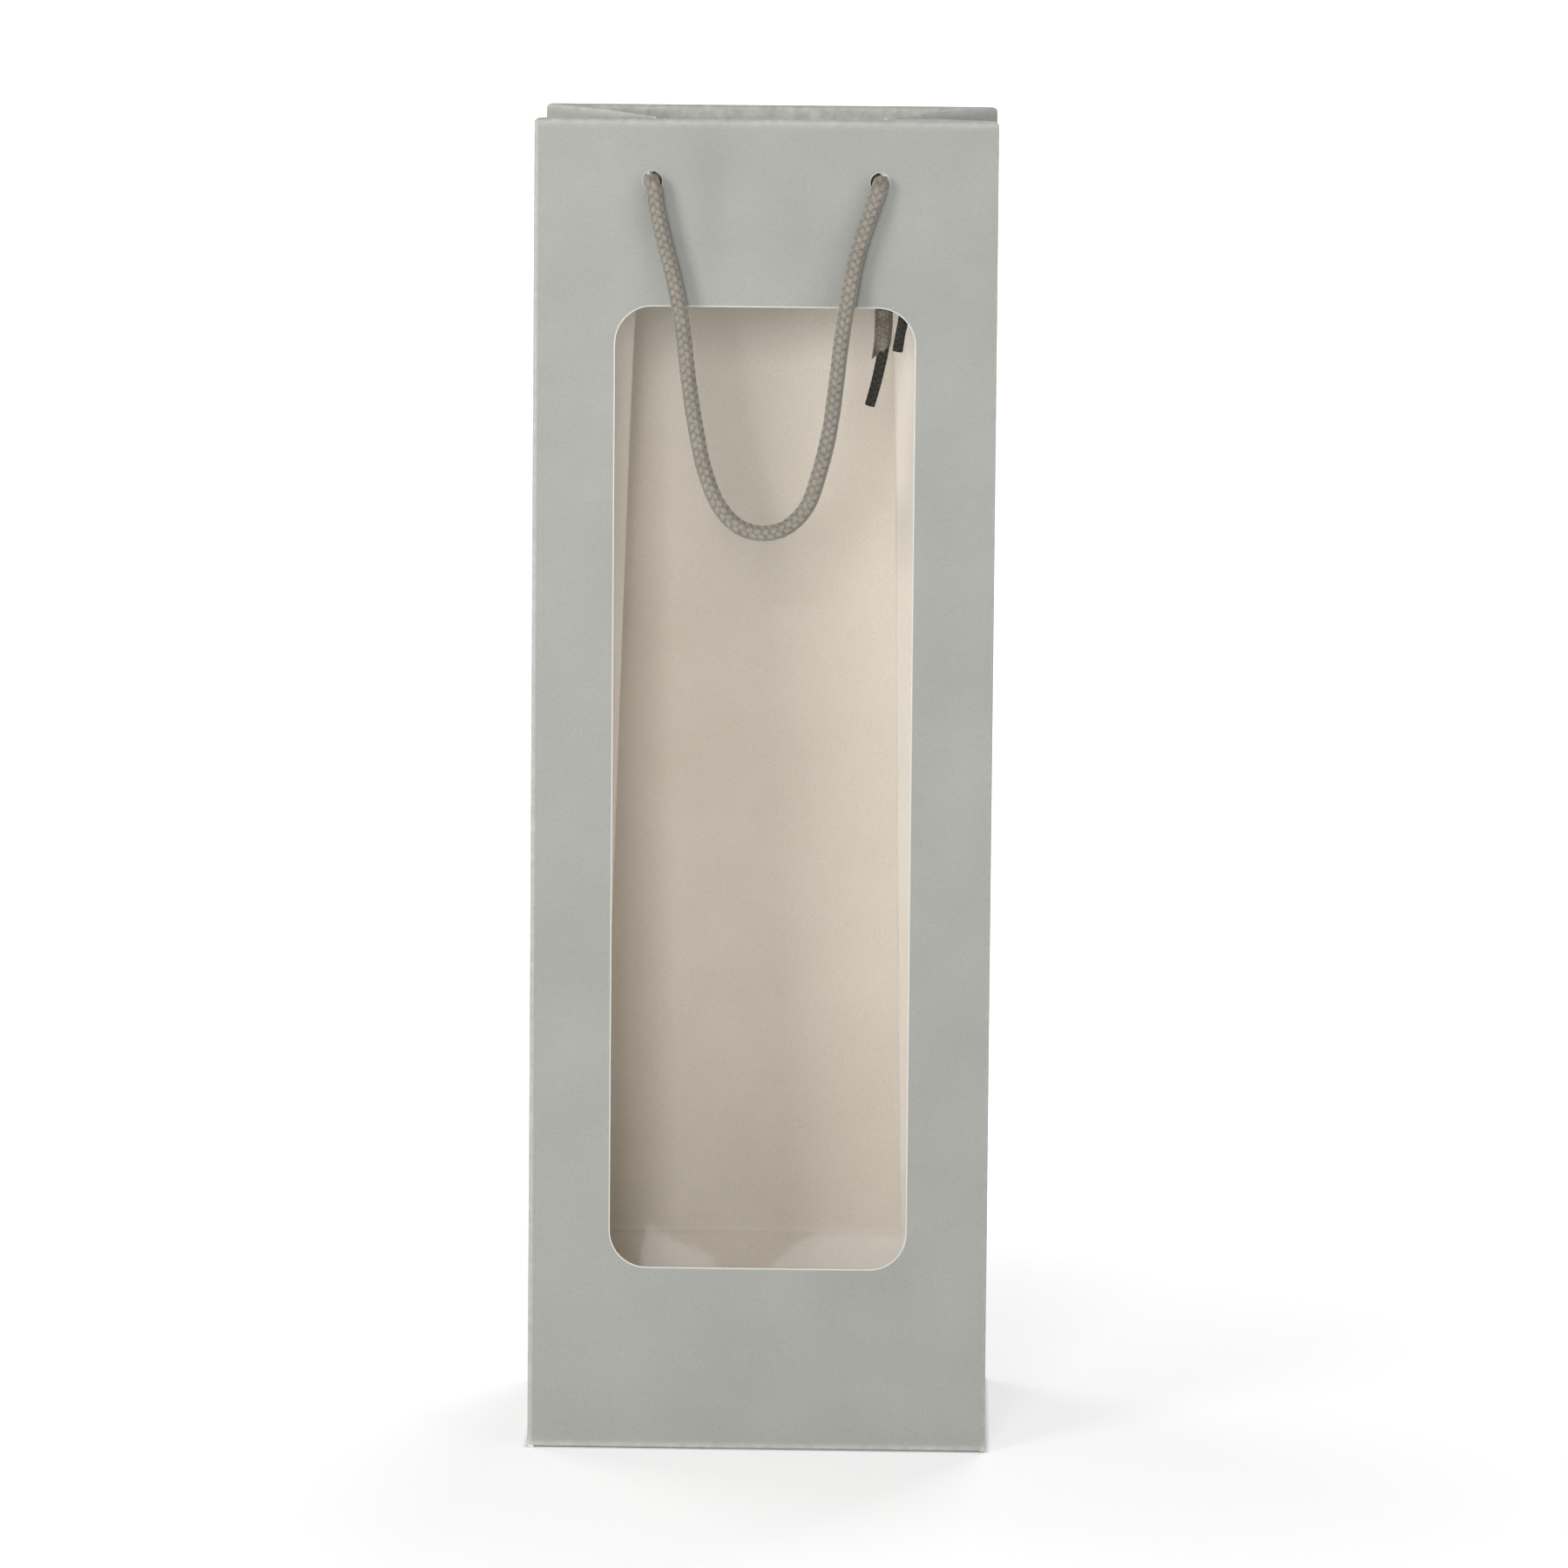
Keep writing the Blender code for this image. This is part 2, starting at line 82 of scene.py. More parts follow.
cord_standoff = 0.00045
handle_drop = 0.0936
handle_lean_out = math.radians(3.0)
knot_width = 0.0105
knot_height = 0.0095
knot_depth = 0.0085
tail_diameter = 0.0036
short_tail_diameter = 0.0028

# Route of the handle loops: across as shares of half the hole spacing, down as shares of the loop's drop
handle_route_shares = [
    (-0.951, 0.085), (-0.879, 0.182), (-0.787, 0.299), (-0.715, 0.427), (-0.662, 0.566),
    (-0.6, 0.694), (-0.518, 0.817), (-0.393, 0.919), (-0.213, 0.981), (0.0, 1.0),
    (0.213, 0.981), (0.39, 0.919), (0.498, 0.817), (0.577, 0.705), (0.626, 0.588),
    (0.666, 0.47), (0.718, 0.353), (0.803, 0.203), (0.918, 0.085),
]
# Free ends: the drop from the hole, and the route as shares of the drop: across from the hole, down from it
front_left_tail = (0.033, [(-0.03, 0.4), (-0.045, 0.7), (-0.02, 1.0)])
front_right_tail = (0.06, [
    (0.013, 0.3), (0.027, 0.533), (0.022, 0.717), (-0.007, 0.875), (-0.04, 1.0)])
back_left_tail = (0.037, [(0.015, 0.4), (0.04, 0.7), (0.06, 1.0)])
back_right_tail = (0.0355, [(-0.02, 0.4), (-0.015, 0.7), (0.01, 1.0)])
short_tail = (0.0454, [(0.137, 0.352), (0.163, 0.595), (0.141, 0.804), (0.123, 0.903), (0.108, 1.0)])

# Camera, as fitted to the corners of the bag in the photograph
image_size = 1800
camera_distance = 2.1
camera_elevation = 0.14739
camera_yaw = -0.02181
camera_roll = 0.00757
pixels_per_metre = 4190.0
bag_centre_pixel = (877.6, 884.1)
sensor_width = 36.0

# Lamps: place, width and height, and power in watts
lamps = {
    "key_lamp": ((-0.16, -1.5, 0.56), (0.3, 0.45), 8.6),
    "side_lamp": ((-0.66, -0.8, 0.38), (0.36, 0.34), 5.0),
    "fill_lamp": ((1.08, -0.88, 0.34), (0.7, 0.7), 3.9),
    "right_back_lamp": ((0.5, 1.4, 0.75), (0.8, 0.8), 15.0),
    "left_back_lamp": ((-1.05, 0.95, 0.65), (0.8, 0.8), 8.0),
}
world_light = 0.34

# Worked-out sizes
half_sheet = paper_thickness / 2
wall_lean = math.atan2((bag_depth - mouth_depth) / 2, bag_height)
wall_length = (bag_height - paper_thickness * math.sin(wall_lean)) / math.cos(wall_lean)
hole_height = wall_length - hole_drop
window_height = wall_length - 2 * window_end_margin
hem_slot = card_thickness + 2 * gap
hem_rise = (paper_thickness + hem_slot) / 2
hem_inner_face = 2 * paper_thickness + hem_slot
leaf_width = bag_depth / 2
edge_x = bag_width / 2 - half_sheet
half_flap = bag_width / 2 - flap_side_inset
bag_middle = Vector((0, 0, bag_height / 2))

# Flat positions where the back wall and the left gusset begin, and of the whole way round
back_start = bag_width + bag_depth
left_gusset_start = 2 * bag_width + bag_depth
perimeter = 2 * bag_width + 2 * bag_depth
wall_starts = (0, back_start)
fold_positions = (
    0, bag_width, bag_width + leaf_width, back_start,
    left_gusset_start, left_gusset_start + leaf_width, perimeter)


def flat_height(height):
    """Flat position t of a height that is measured up the outer face of a wall."""
    return height - half_sheet


straight_top = flat_height(wall_length - hem_rise - half_sheet)
hem_arc = math.pi * hem_rise
hem_end = straight_top + hem_arc + hem_depth - hem_rise - half_sheet
window_middle = wall_length / 2 - half_sheet
below_hem = flat_height(wall_length - hem_depth - 2 * gap)
hole_t = flat_height(hole_height)
hem_hole_t = 2 * straight_top + hem_arc - hole_t
hole_centres = [
    (start + bag_width / 2 + side * hole_spacing / 2, t)
    for side in (-1, 1) for start in wall_starts for t in (hole_t, hem_hole_t)
]

# Softness of the folds
corner_softness = 0.0013
crease_width = 0.0012
mouth_crease_width = 0.0050
crease_widening_start = 0.230
crease_closing = 0.2
score_height = 0.0420
base_softness = 0.0012
base_curl = 0.0018
flap_sink = (0.002, 0.02)
left_crease_bow = 0.0022
right_crease_bow = 0.0014
bow_peak = 0.8 ** 2 * math.sqrt(0.2)
crease_drop = 0.0010
normal_step = 0.0002


# Folding the flat blank

def smooth_share(value, low, high):
    share = np.clip((value - low) / (high - low), 0, 1)
    return share * share * (3 - 2 * share)


def bell(distance, width):
    """A soft hump: 1 at no distance, and faded out at about twice the width."""
    return np.exp(-(distance / width) ** 2)


def on_back(s):
    return (s > back_start) & (s < left_gusset_start)


def fold_distance(s):
    """Flat distance to the nearest upright fold."""
    return np.min([np.abs(s - place) for place in fold_positions], axis=0)


def gusset_distance(s):
    """Flat distance from the middle crease of the nearest gusset."""
    return abs((s - bag_width) % back_start - leaf_width)


def wall_place(t):
    """Distance from the middle plane and height of the middle surface of a wall."""
    return leaf_width - half_sheet - t * math.sin(wall_lean), half_sheet + t * math.cos(wall_lean)


def crease_half(t):
    """Half the flat width of a gusset's rounded crease, which is wider where the hem makes it stiff."""
    widening = (mouth_crease_width - crease_width) / 2
    return crease_width / 2 + widening * smooth_share(t, crease_widening_start, straight_top)


def crease_place(t, base_pinch, bow):
    """Place along X and height of a gusset's centre crease, and its share of the way to the mouth."""
    lean = math.asin(base_pinch / leaf_width)
    apex_t = leaf_width - crease_width / 2
    share = np.clip((t - apex_t) / (straight_top - apex_t), 0, 1)
    low = np.minimum(t, apex_t)
    apex_x = edge_x - low * math.sin(lean)
    apex_z = half_sheet + low * math.cos(lean)
    top_z = wall_place(straight_top)[1] - crease_drop
    bowed = bow * share * share * np.sqrt(1 - share) / bow_peak
    return apex_x + share * (edge_x - mouth_pinch - apex_x) + bowed, apex_z + share * (top_z - apex_z), share


def row_polygon(t):
    """Flat breaks and corner points of the section at each t, going round from the front left corner."""
    reach = np.minimum(t, leaf_width - crease_half(t))
    wall_y, wall_z = wall_place(t)
    level = np.ones_like(t)
    breaks = np.stack([
        0 * level, bag_width * level, bag_width + reach, back_start - reach, back_start * level,
        left_gusset_start * level, left_gusset_start + reach, perimeter - reach, perimeter * level,
    ], axis=1)
    edge = edge_x * level
    right_x, right_z, share = crease_place(t, right_base_pinch, right_crease_bow)
    left_x, left_z, share = crease_place(t, left_base_pinch, left_crease_bow)
    fold_y = (leaf_width - half_sheet) * (1 - reach / leaf_width) * (1 - crease_closing * share)
    corners = [
        (-edge, -wall_y, wall_z), (edge, -wall_y, wall_z),
        (right_x, -fold_y, right_z), (right_x, fold_y, right_z),
        (edge, wall_y, wall_z), (-edge, wall_y, wall_z),
        (-left_x, fold_y, left_z), (-left_x, -fold_y, left_z),
        (-edge, -wall_y, wall_z),
    ]
    return breaks, np.moveaxis(np.array(corners), 2, 0)


def inset_polygon(corners, wall_inset, gusset_inset):
    """The same polygons, moved into the bag by one distance at the walls and another at the gussets."""
    insets = 2 * [wall_inset, gusset_inset, gusset_inset, gusset_inset]
    along = corners[:, 1:, :2] - corners[:, :-1, :2]
    along /= np.linalg.norm(along, axis=2, keepdims=True)
    normal = np.stack([-along[:, :, 1], along[:, :, 0]], axis=2)
    moved = corners.copy()
    for j in range(8):
        n1, n2 = normal[:, j - 1], normal[:, j]
        d1, d2 = insets[j - 1], insets[j]
        cross = n1[:, 0] * n2[:, 1] - n1[:, 1] * n2[:, 0]
        moved[:, j, 0] += (d1 * n2[:, 1] - d2 * n1[:, 1]) / cross
        moved[:, j, 1] += (d2 * n1[:, 0] - d1 * n2[:, 0]) / cross
    moved[:, 8] = moved[:, 0]
    return moved


def on_polygon(s, breaks, corners):
    """Points at flat positions s on the polygons, with each corner rounded into a short curve."""
    place = np.zeros((len(s), 3))
    for k in range(8):
        low, high = breaks[:, k], breaks[:, k + 1]
        inside = (s >= low) & (s <= high)
        share = (s - low) / np.maximum(high - low, 1e-9)
        line = corners[:, k] + share[:, None] * (corners[:, k + 1] - corners[:, k])
        place[inside] = line[inside]
    for j in range(8):
        end_of_last = j or 8
        before = breaks[:, end_of_last] - breaks[:, end_of_last - 1]
        after = breaks[:, j + 1] - breaks[:, j]
        reach = np.minimum(corner_softness, 0.49 * np.minimum(before, after))
        offset = (s - breaks[:, j] + perimeter / 2) % perimeter - perimeter / 2
        near = (np.abs(offset) < reach) & (reach > 1e-6)
        corner = corners[near, j]
        start = corner + (corners[near, end_of_last - 1] - corner) * (reach[near] / before[near])[:, None]
        end = corner + (corners[near, j + 1] - corner) * (reach[near] / after[near])[:, None]
        w = ((offset[near] + reach[near]) / (2 * reach[near]))[:, None]
        place[near] = (1 - w) ** 2 * start + 2 * w * (1 - w) * corner + w ** 2 * end
    return place


def shell(s, t, depth=0.0, hem=False):
    """Points on the bag's middle surface, or on the hem's, moved into the bag by depth."""
    breaks, corners = row_polygon(t)
    if hem:
        corners = inset_polygon(corners, paper_thickness + hem_slot, paper_thickness + gap)
    elif depth:
        corners = inset_polygon(corners, depth, depth)
    return on_polygon(s, breaks, corners)


def base_point(s, inward):
    """Points of the base flaps, a distance in from the base fold. The front flap sinks onto the others."""
    result = shell(s, np.zeros_like(s))
    front = s < bag_width
    back = on_back(s)
    beside = ~front & ~back
    result[front, 1] += inward[front]
    result[front, 2] += smooth_share(inward[front], *flap_sink) * (paper_thickness + gap)
    result[back, 1] -= inward[back]
    result[beside, 0] -= np.sign(result[beside, 0]) * inward[beside]
    return result


def outward_normal(s, t):
    t = np.clip(t, normal_step, straight_top - normal_step)
    across = shell((s + normal_step) % perimeter, t) - shell((s - normal_step) % perimeter, t)
    up = shell(s, t + normal_step) - shell(s, t - normal_step)
    normal = np.cross(across, up)
    return normal / np.maximum(np.linalg.norm(normal, axis=1, keepdims=True), 1e-12)


def soft_noise(s, t, size, seed):
    return np.array([noise.noise(Vector((x, y, 0)) / size + Vector((seed, 0, 0))) for x, y in zip(s, t)])


# Waves of the paper: their size, their place in the noise and their depth
paper_waves = [(0.055, 3.1, 0.0006), (0.019, 7.7, 0.00014)]

# Dents of the walls: flat place, spread across and up, and depth into the bag
dents = [
    (bag_width / 2 - 0.0105, 0.338, 0.006, 0.019, 0.0015),
    (bag_width / 2 - 0.0265, 0.336, 0.0055, 0.009, 0.0011),
    (bag_width / 2 + 0.0335, 0.333, 0.0055, 0.01, 0.001),
    (bag_width / 2 + 0.009, 0.352, 0.013, 0.012, -0.00045),
    (bag_width / 2, 0.02, 0.04, 0.016, 0.00045),
    (0.01, 0.18, 0.01, 0.09, -0.00025),
    (bag_width - 0.011, 0.2, 0.01, 0.11, 0.0003),
    (back_start + 0.04, 0.2, 0.03, 0.08, 0.0007),
    (bag_width + 0.022, 0.21, 0.012, 0.1, -0.001),
    (bag_width + 0.068, 0.19, 0.012, 0.1, -0.0008),
    (left_gusset_start + 0.022, 0.2, 0.012, 0.1, -0.0009),
    (left_gusset_start + 0.068, 0.21, 0.012, 0.1, -0.0011),
]
# The dents fade out between these distances from an upright fold and from the base
dent_fade_at_fold = (0.0015, 0.014)
dent_fade_at_base = (0.003, 0.02)
# The back wall's score line, and the shallow furrow and the painted highlight line beside the front panel's
# left edge
score_depth = 0.00010
score_width = 0.0007
groove_place = 0.0021
groove_depth = 0.00008
edge_line_place = 0.0010
edge_line_width = 0.0004
# Widths of the pale lines, which are partly wear and partly painted highlight, and where the foot is palest
pale_fold_width = 0.0007
pale_rim_width = 0.0016
pale_foot_width = 0.0009
palest_foot_place = 0.0004
pale_score_width = 0.0008
pale_hem_end = 0.0010


def dent_depth(s, t):
    """How far the sheet lies into the bag from its plain folded place."""
    depth = on_back(s) * score_depth * bell(t - score_height, score_width)
    for size, seed, amount in paper_waves:
        depth += amount * soft_noise(s, t, size, seed)
    for centre_s, centre_t, spread_s, spread_t, amount in dents:
        depth += amount * bell(s - centre_s, spread_s) * bell(t - centre_t, spread_t)
    faded = smooth_share(fold_distance(s), *dent_fade_at_fold) * smooth_share(t, *dent_fade_at_base)
    return depth * faded + groove_depth * bell(s - groove_place, edge_line_width)


def dented(place, s, t):
    t = np.clip(t, 0, straight_top)
    return place - outward_normal(s, t) * dent_depth(s, t)[:, None]


def folded(flat):
    """Places points of the flat blank on the folded bag."""
    s, t = np.clip(flat[:, 0], 0, perimeter), flat[:, 1]
    place = np.zeros((len(s), 3))
    wall = (t >= base_softness) & (t <= straight_top)
    fold = (t > straight_top) & (t < straight_top + hem_arc)
    hem = t >= straight_top + hem_arc
    curl = np.abs(t) < base_softness
    flap = t <= -base_softness
    wall_t = np.where(hem, 2 * straight_top + hem_arc - t, np.minimum(t, straight_top))
    place[wall] = shell(s[wall], t[wall])
    place[hem] = shell(s[hem], wall_t[hem], hem=True)
    top = np.full(fold.sum(), straight_top)
    outer, inner = shell(s[fold], top), shell(s[fold], top, hem=True)
    angle = (t[fold] - straight_top) / hem_arc * math.pi
    rise = np.minimum(np.linalg.norm(inner - outer, axis=1) / 2, hem_rise) * np.sin(angle)
    place[fold] = outer + (inner - outer) * ((1 - np.cos(angle)) / 2)[:, None]
    place[fold, 2] += rise
    soft = np.full(curl.sum(), base_softness)
    start, end = base_point(s[curl], soft), shell(s[curl], soft)
    middle = shell(s[curl], np.zeros_like(soft))
    w = ((t[curl] + base_softness) / (2 * base_softness))[:, None]
    place[curl] = (1 - w) ** 2 * start + 2 * w * (1 - w) * middle + w ** 2 * end
    place[flap] = base_point(s[flap], -t[flap])
    return dented(place, s, wall_t)


# Meshing the flat blank

fine_step = 0.0004
column_reach = 0.0026
column_step = 0.0034
row_reach = 0.0014
flap_row_step = 0.0060
wall_row_step = 0.0042
hem_row_step = 0.0050
hem_fine_step = 0.0012
hem_arc_steps = 12
step_growth = 1.35
outline_spacing = 0.0030
corner_steps = 10
circle_steps = 28
outline_ring = 0.0004
outline_room = 0.0011
slant_ends = 0.0030
slant_points = 32
slant_room = 0.0005
on_edge = 1e-5
rounding_slack = 1e-6


def window_distance(s, t):
    """Distance outside the window's outline, negative inside."""
    x = abs(s - bag_width / 2) - window_width / 2 + window_corner_radius
    y = abs(t - window_middle) - window_height / 2 + window_corner_radius
    return math.hypot(max(x, 0), max(y, 0)) + min(max(x, y), 0) - window_corner_radius


def near_hole(s, t, room):
    return any(math.hypot(s - x, t - y) < hole_diameter / 2 + room for x, y in hole_centres)


def in_blank(s, t, slack=0.0):
    """True on the blank, whose base flaps are narrower than its walls. The slack takes in their edges."""
    on_flap = any(abs(s - start - bag_width / 2) < half_flap + slack for start in wall_starts)
    return on_flap or t > -base_curl - slack


def window_outline(away):
    """Closely spaced points round the window, moved outwards."""
    corners = []
    for quarter, (side_x, side_y) in enumerate(((1, 1), (-1, 1), (-1, -1), (1, -1))):
        middle = Vector((
            bag_width / 2 + side_x * (window_width / 2 - window_corner_radius),
            window_middle + side_y * (window_height / 2 - window_corner_radius)))
        for step in range(corner_steps + 1):
            angle = (quarter + step / corner_steps) * math.pi / 2
            outwards = Vector((math.cos(angle), math.sin(angle)))
            corners.append(middle + (window_corner_radius + away) * outwards)
    points = []
    for first, second in zip(corners, corners[1:] + corners[:1]):
        steps = max(1, round((second - first).length / outline_spacing))
        points.extend(first.lerp(second, step / steps) for step in range(steps))
    return points


def hole_outline(centre, away):
    radius = hole_diameter / 2 + away
    angles = [step * math.tau / circle_steps for step in range(circle_steps)]
    return [Vector((centre[0] + radius * math.cos(a), centre[1] + radius * math.sin(a))) for a in angles]


def spread_lines(low, high, fine_places, reach, first_step, last_step):
    """Grid lines between two limits, closer together within reach of the fine places."""
    lines = set()
    stops = sorted({low, high, *(place for place in fine_places if low <= place <= high)})
    for first, second in zip(stops, stops[1:]):
        half_way = (second - first) / 2
        place = 0.0
        step = first_step
        while place < half_way - first_step / 2:
            lines.update((round(first + place, 7), round(second - place, 7)))
            if place >= reach:
                step = min(last_step, step_growth * step)
            place += step
        lines.add(round(first + half_way, 7))
    return sorted(lines)


def slant_bands():
    """The slanting creases of the gussets' lower triangles, each as a band of parallel lines."""
    downs = np.linspace(slant_ends, leaf_width - slant_ends, slant_points)
    shifts = [corner_softness * share for share in (-1.0, -0.5, 0.0, 0.5, 1.0)]
    return [
        [Vector((start + side * (down + shift), down)) for down in downs]
        for gusset in (bag_width, left_gusset_start)
        for start, side in ((gusset, 1), (gusset + bag_depth, -1)) for shift in shifts
    ]


def on_slant(s, t):
    """True in a band, where the grid makes room for its lines."""
    clear_of_ends = slant_ends - slant_room < t < leaf_width - slant_ends + slant_room
    return clear_of_ends and abs(leaf_width - gusset_distance(s) - t) < corner_softness + slant_room


def flat_blank():
    """The blank as flat points and triangles, with its window and holes."""
    flap_edges = [start + bag_width / 2 + side * half_flap for start in wall_starts for side in (-1, 1)]
    columns = spread_lines(
        0, perimeter, [*fold_positions, *flap_edges], column_reach, fine_step, column_step)
    rows = spread_lines(-flap_reach, 0, [-base_curl], row_reach, fine_step, flap_row_step)
    rows += spread_lines(
        0, straight_top, [score_height, leaf_width], row_reach, fine_step, wall_row_step)[1:]
    rows += [straight_top + hem_arc * step / hem_arc_steps for step in range(1, hem_arc_steps + 1)]
    rows += spread_lines(straight_top + hem_arc, hem_end, [], fine_step, hem_fine_step, hem_row_step)[1:]
    points = [
        Vector((s, t)) for s in columns for t in rows
        if in_blank(s, t, rounding_slack) and window_distance(s, t) >= outline_room
        and not near_hole(s, t, outline_room) and not on_slant(s, t)
    ]
    loops = [window_outline(away) for away in (0, outline_ring)]
    loops += [hole_outline(centre, away) for centre in hole_centres for away in (0, outline_ring)]
    edges = []
    for loop in loops:
        first = len(points)
        points += loop
        edges += [(first + k, first + (k + 1) % len(loop)) for k in range(len(loop))]
    for line in slant_bands():
        first = len(points)
        points += line
        edges += [(first + k, first + k + 1) for k in range(len(line) - 1)]
    verts, _, faces, *_ = geometry.delaunay_2d_cdt(points, edges, [], 0, 1e-7)
    kept = []
    for face in faces:
        centre = sum((verts[k] for k in face), Vector((0, 0))) / len(face)
        if in_blank(*centre) and not near_hole(*centre, 0) and window_distance(*centre) > -on_edge:
            kept.append(face)
    return np.array([tuple(v) for v in verts]), kept


def add_object(name, data):
    created = bpy.data.objects.new(name, data)
    bpy.context.scene.collection.objects.link(created)
    return created


def add_mesh(name, verts, faces, materials):
    mesh = bpy.data.meshes.new(name)
    mesh.from_pydata([tuple(v) for v in verts], [], [tuple(f) for f in faces])
    for material in materials:
        mesh.materials.append(material)
    mesh.update()
    return add_object(name, mesh)


def float_attribute(obj, name, values):
    layer = obj.data.attributes.new(name, "FLOAT", "POINT")
    layer.data.foreach_set("value", np.asarray(values, np.float32))


def clean(obj):
    """Welds the mesh, pairs its triangles and drops loose points."""
    shape = bmesh.new()
    shape.from_mesh(obj.data)
    bmesh.ops.remove_doubles(shape, verts=shape.verts, dist=rounding_slack)
    bmesh.ops.delete(shape, geom=[v for v in shape.verts if not v.link_faces], context="VERTS")
    bmesh.ops.join_triangles(
        shape, faces=shape.faces, angle_face_threshold=math.radians(20),
        angle_shape_threshold=math.radians(50))
    shape.to_mesh(obj.data)
    shape.free()


def thicken(obj, thickness):
    """Gives a sheet its thickness. Its inner side and its cut edges take the next two materials."""
    modifier = obj.modifiers.new("thickness", "SOLIDIFY")
    modifier.thickness = thickness
    modifier.offset = 0
    modifier.use_even_offset = False
    modifier.material_offset = 1
    modifier.material_offset_rim = 2
    depsgraph = bpy.context.evaluated_depsgraph_get()
    thick = bpy.data.meshes.new_from_object(
        obj.evaluated_get(depsgraph), preserve_all_data_layers=True, depsgraph=depsgraph)
    flat = obj.data
    obj.modifiers.clear()
    obj.data = thick
    thick.name = flat.name
    bpy.data.meshes.remove(flat)
    thick.shade_smooth()
    thick.set_sharp_from_angle(angle=math.radians(50))


def fold_wear_and_highlight(s, t):
    """How pale the sheet is painted, partly for wear and partly as painted highlight: most at the rim, the
    foot and the folds, and least at the scored lines. The line beside the front's left edge is a painted
    highlight, and the turned-in hem is pale all over.
    """
    upright = bell(fold_distance(s), pale_fold_width)
    rim = bell(t - straight_top - hem_arc / 2, pale_rim_width)
    foot = bell(t - palest_foot_place, pale_foot_width)
    slanting = bell(leaf_width - gusset_distance(s) - t, pale_fold_width) * (t < leaf_width)
    edge_line = bell(s - edge_line_place, edge_line_width) * (t < straight_top)
    score = bell(t - score_height, pale_score_width) * on_back(s)
    hem = smooth_share(t, straight_top + hem_arc / 2, straight_top + hem_arc + pale_hem_end)
    # Partly wear and partly painted highlight on the rounded folds, rim and foot; the line beside the left
    # edge is painted highlight only.
    wear = 0.7 * upright + 0.85 * (rim + foot) + 0.45 * slanting + 0.35 * edge_line + 0.25 * score + hem
    return np.clip(wear, 0, 1)


def cut_wear(s, t):
    """Marks the points on the cut edges of the window, and less so those of the holes."""
    wear = np.array([abs(window_distance(*place)) < on_edge for place in zip(s, t)], float)
    for x, y in hole_centres:
        wear += 0.45 * (np.abs(np.hypot(s - x, t - y) - hole_diameter / 2) < on_edge)
    return np.clip(wear, 0, 1)


def make_bag(materials):
    flat, faces = flat_blank()
    bag = add_mesh("paper_bag", folded(flat), faces, materials)
    float_attribute(bag, "fold_wear_and_highlight", fold_wear_and_highlight(flat[:, 0], flat[:, 1]))
    float_attribute(bag, "cut_wear", cut_wear(flat[:, 0], flat[:, 1]))
    clean(bag)
    thicken(bag, paper_thickness)
    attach(bag, "bag")
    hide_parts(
        "front_panel", "back_panel", "front_base_flap", "back_base_flap",
        "left_gusset_front_leaf", "left_gusset_back_leaf", "left_gusset_triangle",
        "right_gusset_front_leaf", "right_gusset_back_leaf", "right_gusset_triangle")


# Sheets behind the walls: the film, the cards and the seam flap

film_wave_depth = 0.00075
film_wave_size = 0.030
film_ripple_depth = 0.00012
film_ripple_size = 0.011
film_glued_edge = 0.012
patch_softness = 0.0030
card_hole_room = 0.0006

# Columns and rows of their meshes
film_grid = (70, 190)
card_grid = (90, 30)
seam_grid = (8, 90)

# Tops of the film's two painted reflections: across from the window's middle, and up the sheet
left_patch_outline = [
    (-0.0325, 0.048), (-0.0309, 0.063), (-0.0226, 0.0587), (-0.0196, 0.0567), (-0.0155, 0.0558),
    (-0.012, 0.0537), (-0.0108, 0.049),
]
right_patch_outline = [
    (0.001, 0.049), (0.0064, 0.0543), (0.0099, 0.0574), (0.0147, 0.0598), (0.0194, 0.0616),
    (0.0289, 0.0616), (0.0395, 0.0604), (0.05, 0.0604),
]


def wall_sheet(name, limits, depth, grid, materials, bulge=None):
    """A sheet behind a wall that follows its dents, with its flat places. Depth is to its middle."""
    columns, rows = grid
    s, t = np.meshgrid(np.linspace(*limits[:2], columns), np.linspace(*limits[2:], rows))
    s, t = s.ravel(), t.ravel()
    place = dented(shell(s, t, depth=depth), s, t)
    if bulge:
        place -= outward_normal(s, t) * bulge(s, t)[:, None]
    firsts = [row * columns + column for row in range(rows - 1) for column in range(columns - 1)]
    faces = [
        (k, k + 1, k + columns + 1, k + columns) for k in firsts
        if not near_hole((s[k] + s[k + 1]) / 2, (t[k] + t[k + columns]) / 2, card_hole_room)
    ]
    return add_mesh(name, place, faces, materials), s, t


def film_bulge(s, t):
    """Waves of the film inside the window, which fade out where it is glued to the panel."""
    x = np.abs(s - bag_width / 2) - window_width / 2
    y = np.abs(t - window_middle) - window_height / 2
    inside = smooth_share(-np.maximum(x, y), 0.0, film_glued_edge)
    waves = 0.5 + 0.5 * soft_noise(s, 0.55 * t, film_wave_size, 12.4)
    ripples = soft_noise(s, t, film_ripple_size, 4.2)
    return inside * (film_wave_depth * waves + film_ripple_depth * ripples)


def painted_reflection_mask(s, t):
    """Two painted reflections in the film's lower end, where it is made whiter and less clear: a slope on
    the left and a mound on the right.
    """
    outlines = (left_patch_outline, right_patch_outline)
    tops = [np.interp(s - bag_width / 2, *zip(*outline), left=0, right=0) for outline in outlines]
    return smooth_share(np.max(tops, axis=0) - t, 0, patch_softness)


def make_film(material):
    half = window_width / 2 + film_overlap
    low = flat_height(window_end_margin - film_overlap)
    limits = (bag_width / 2 - half, bag_width / 2 + half, low, below_hem)
    depth = half_sheet + gap + film_thickness / 2
    film, s, t = wall_sheet("clear_film", limits, depth, film_grid, [material], film_bulge)
    float_attribute(film, "painted_film_reflection", painted_reflection_mask(s, t))
    thicken(film, film_thickness)
    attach(film, "bag")
    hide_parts("window_film")


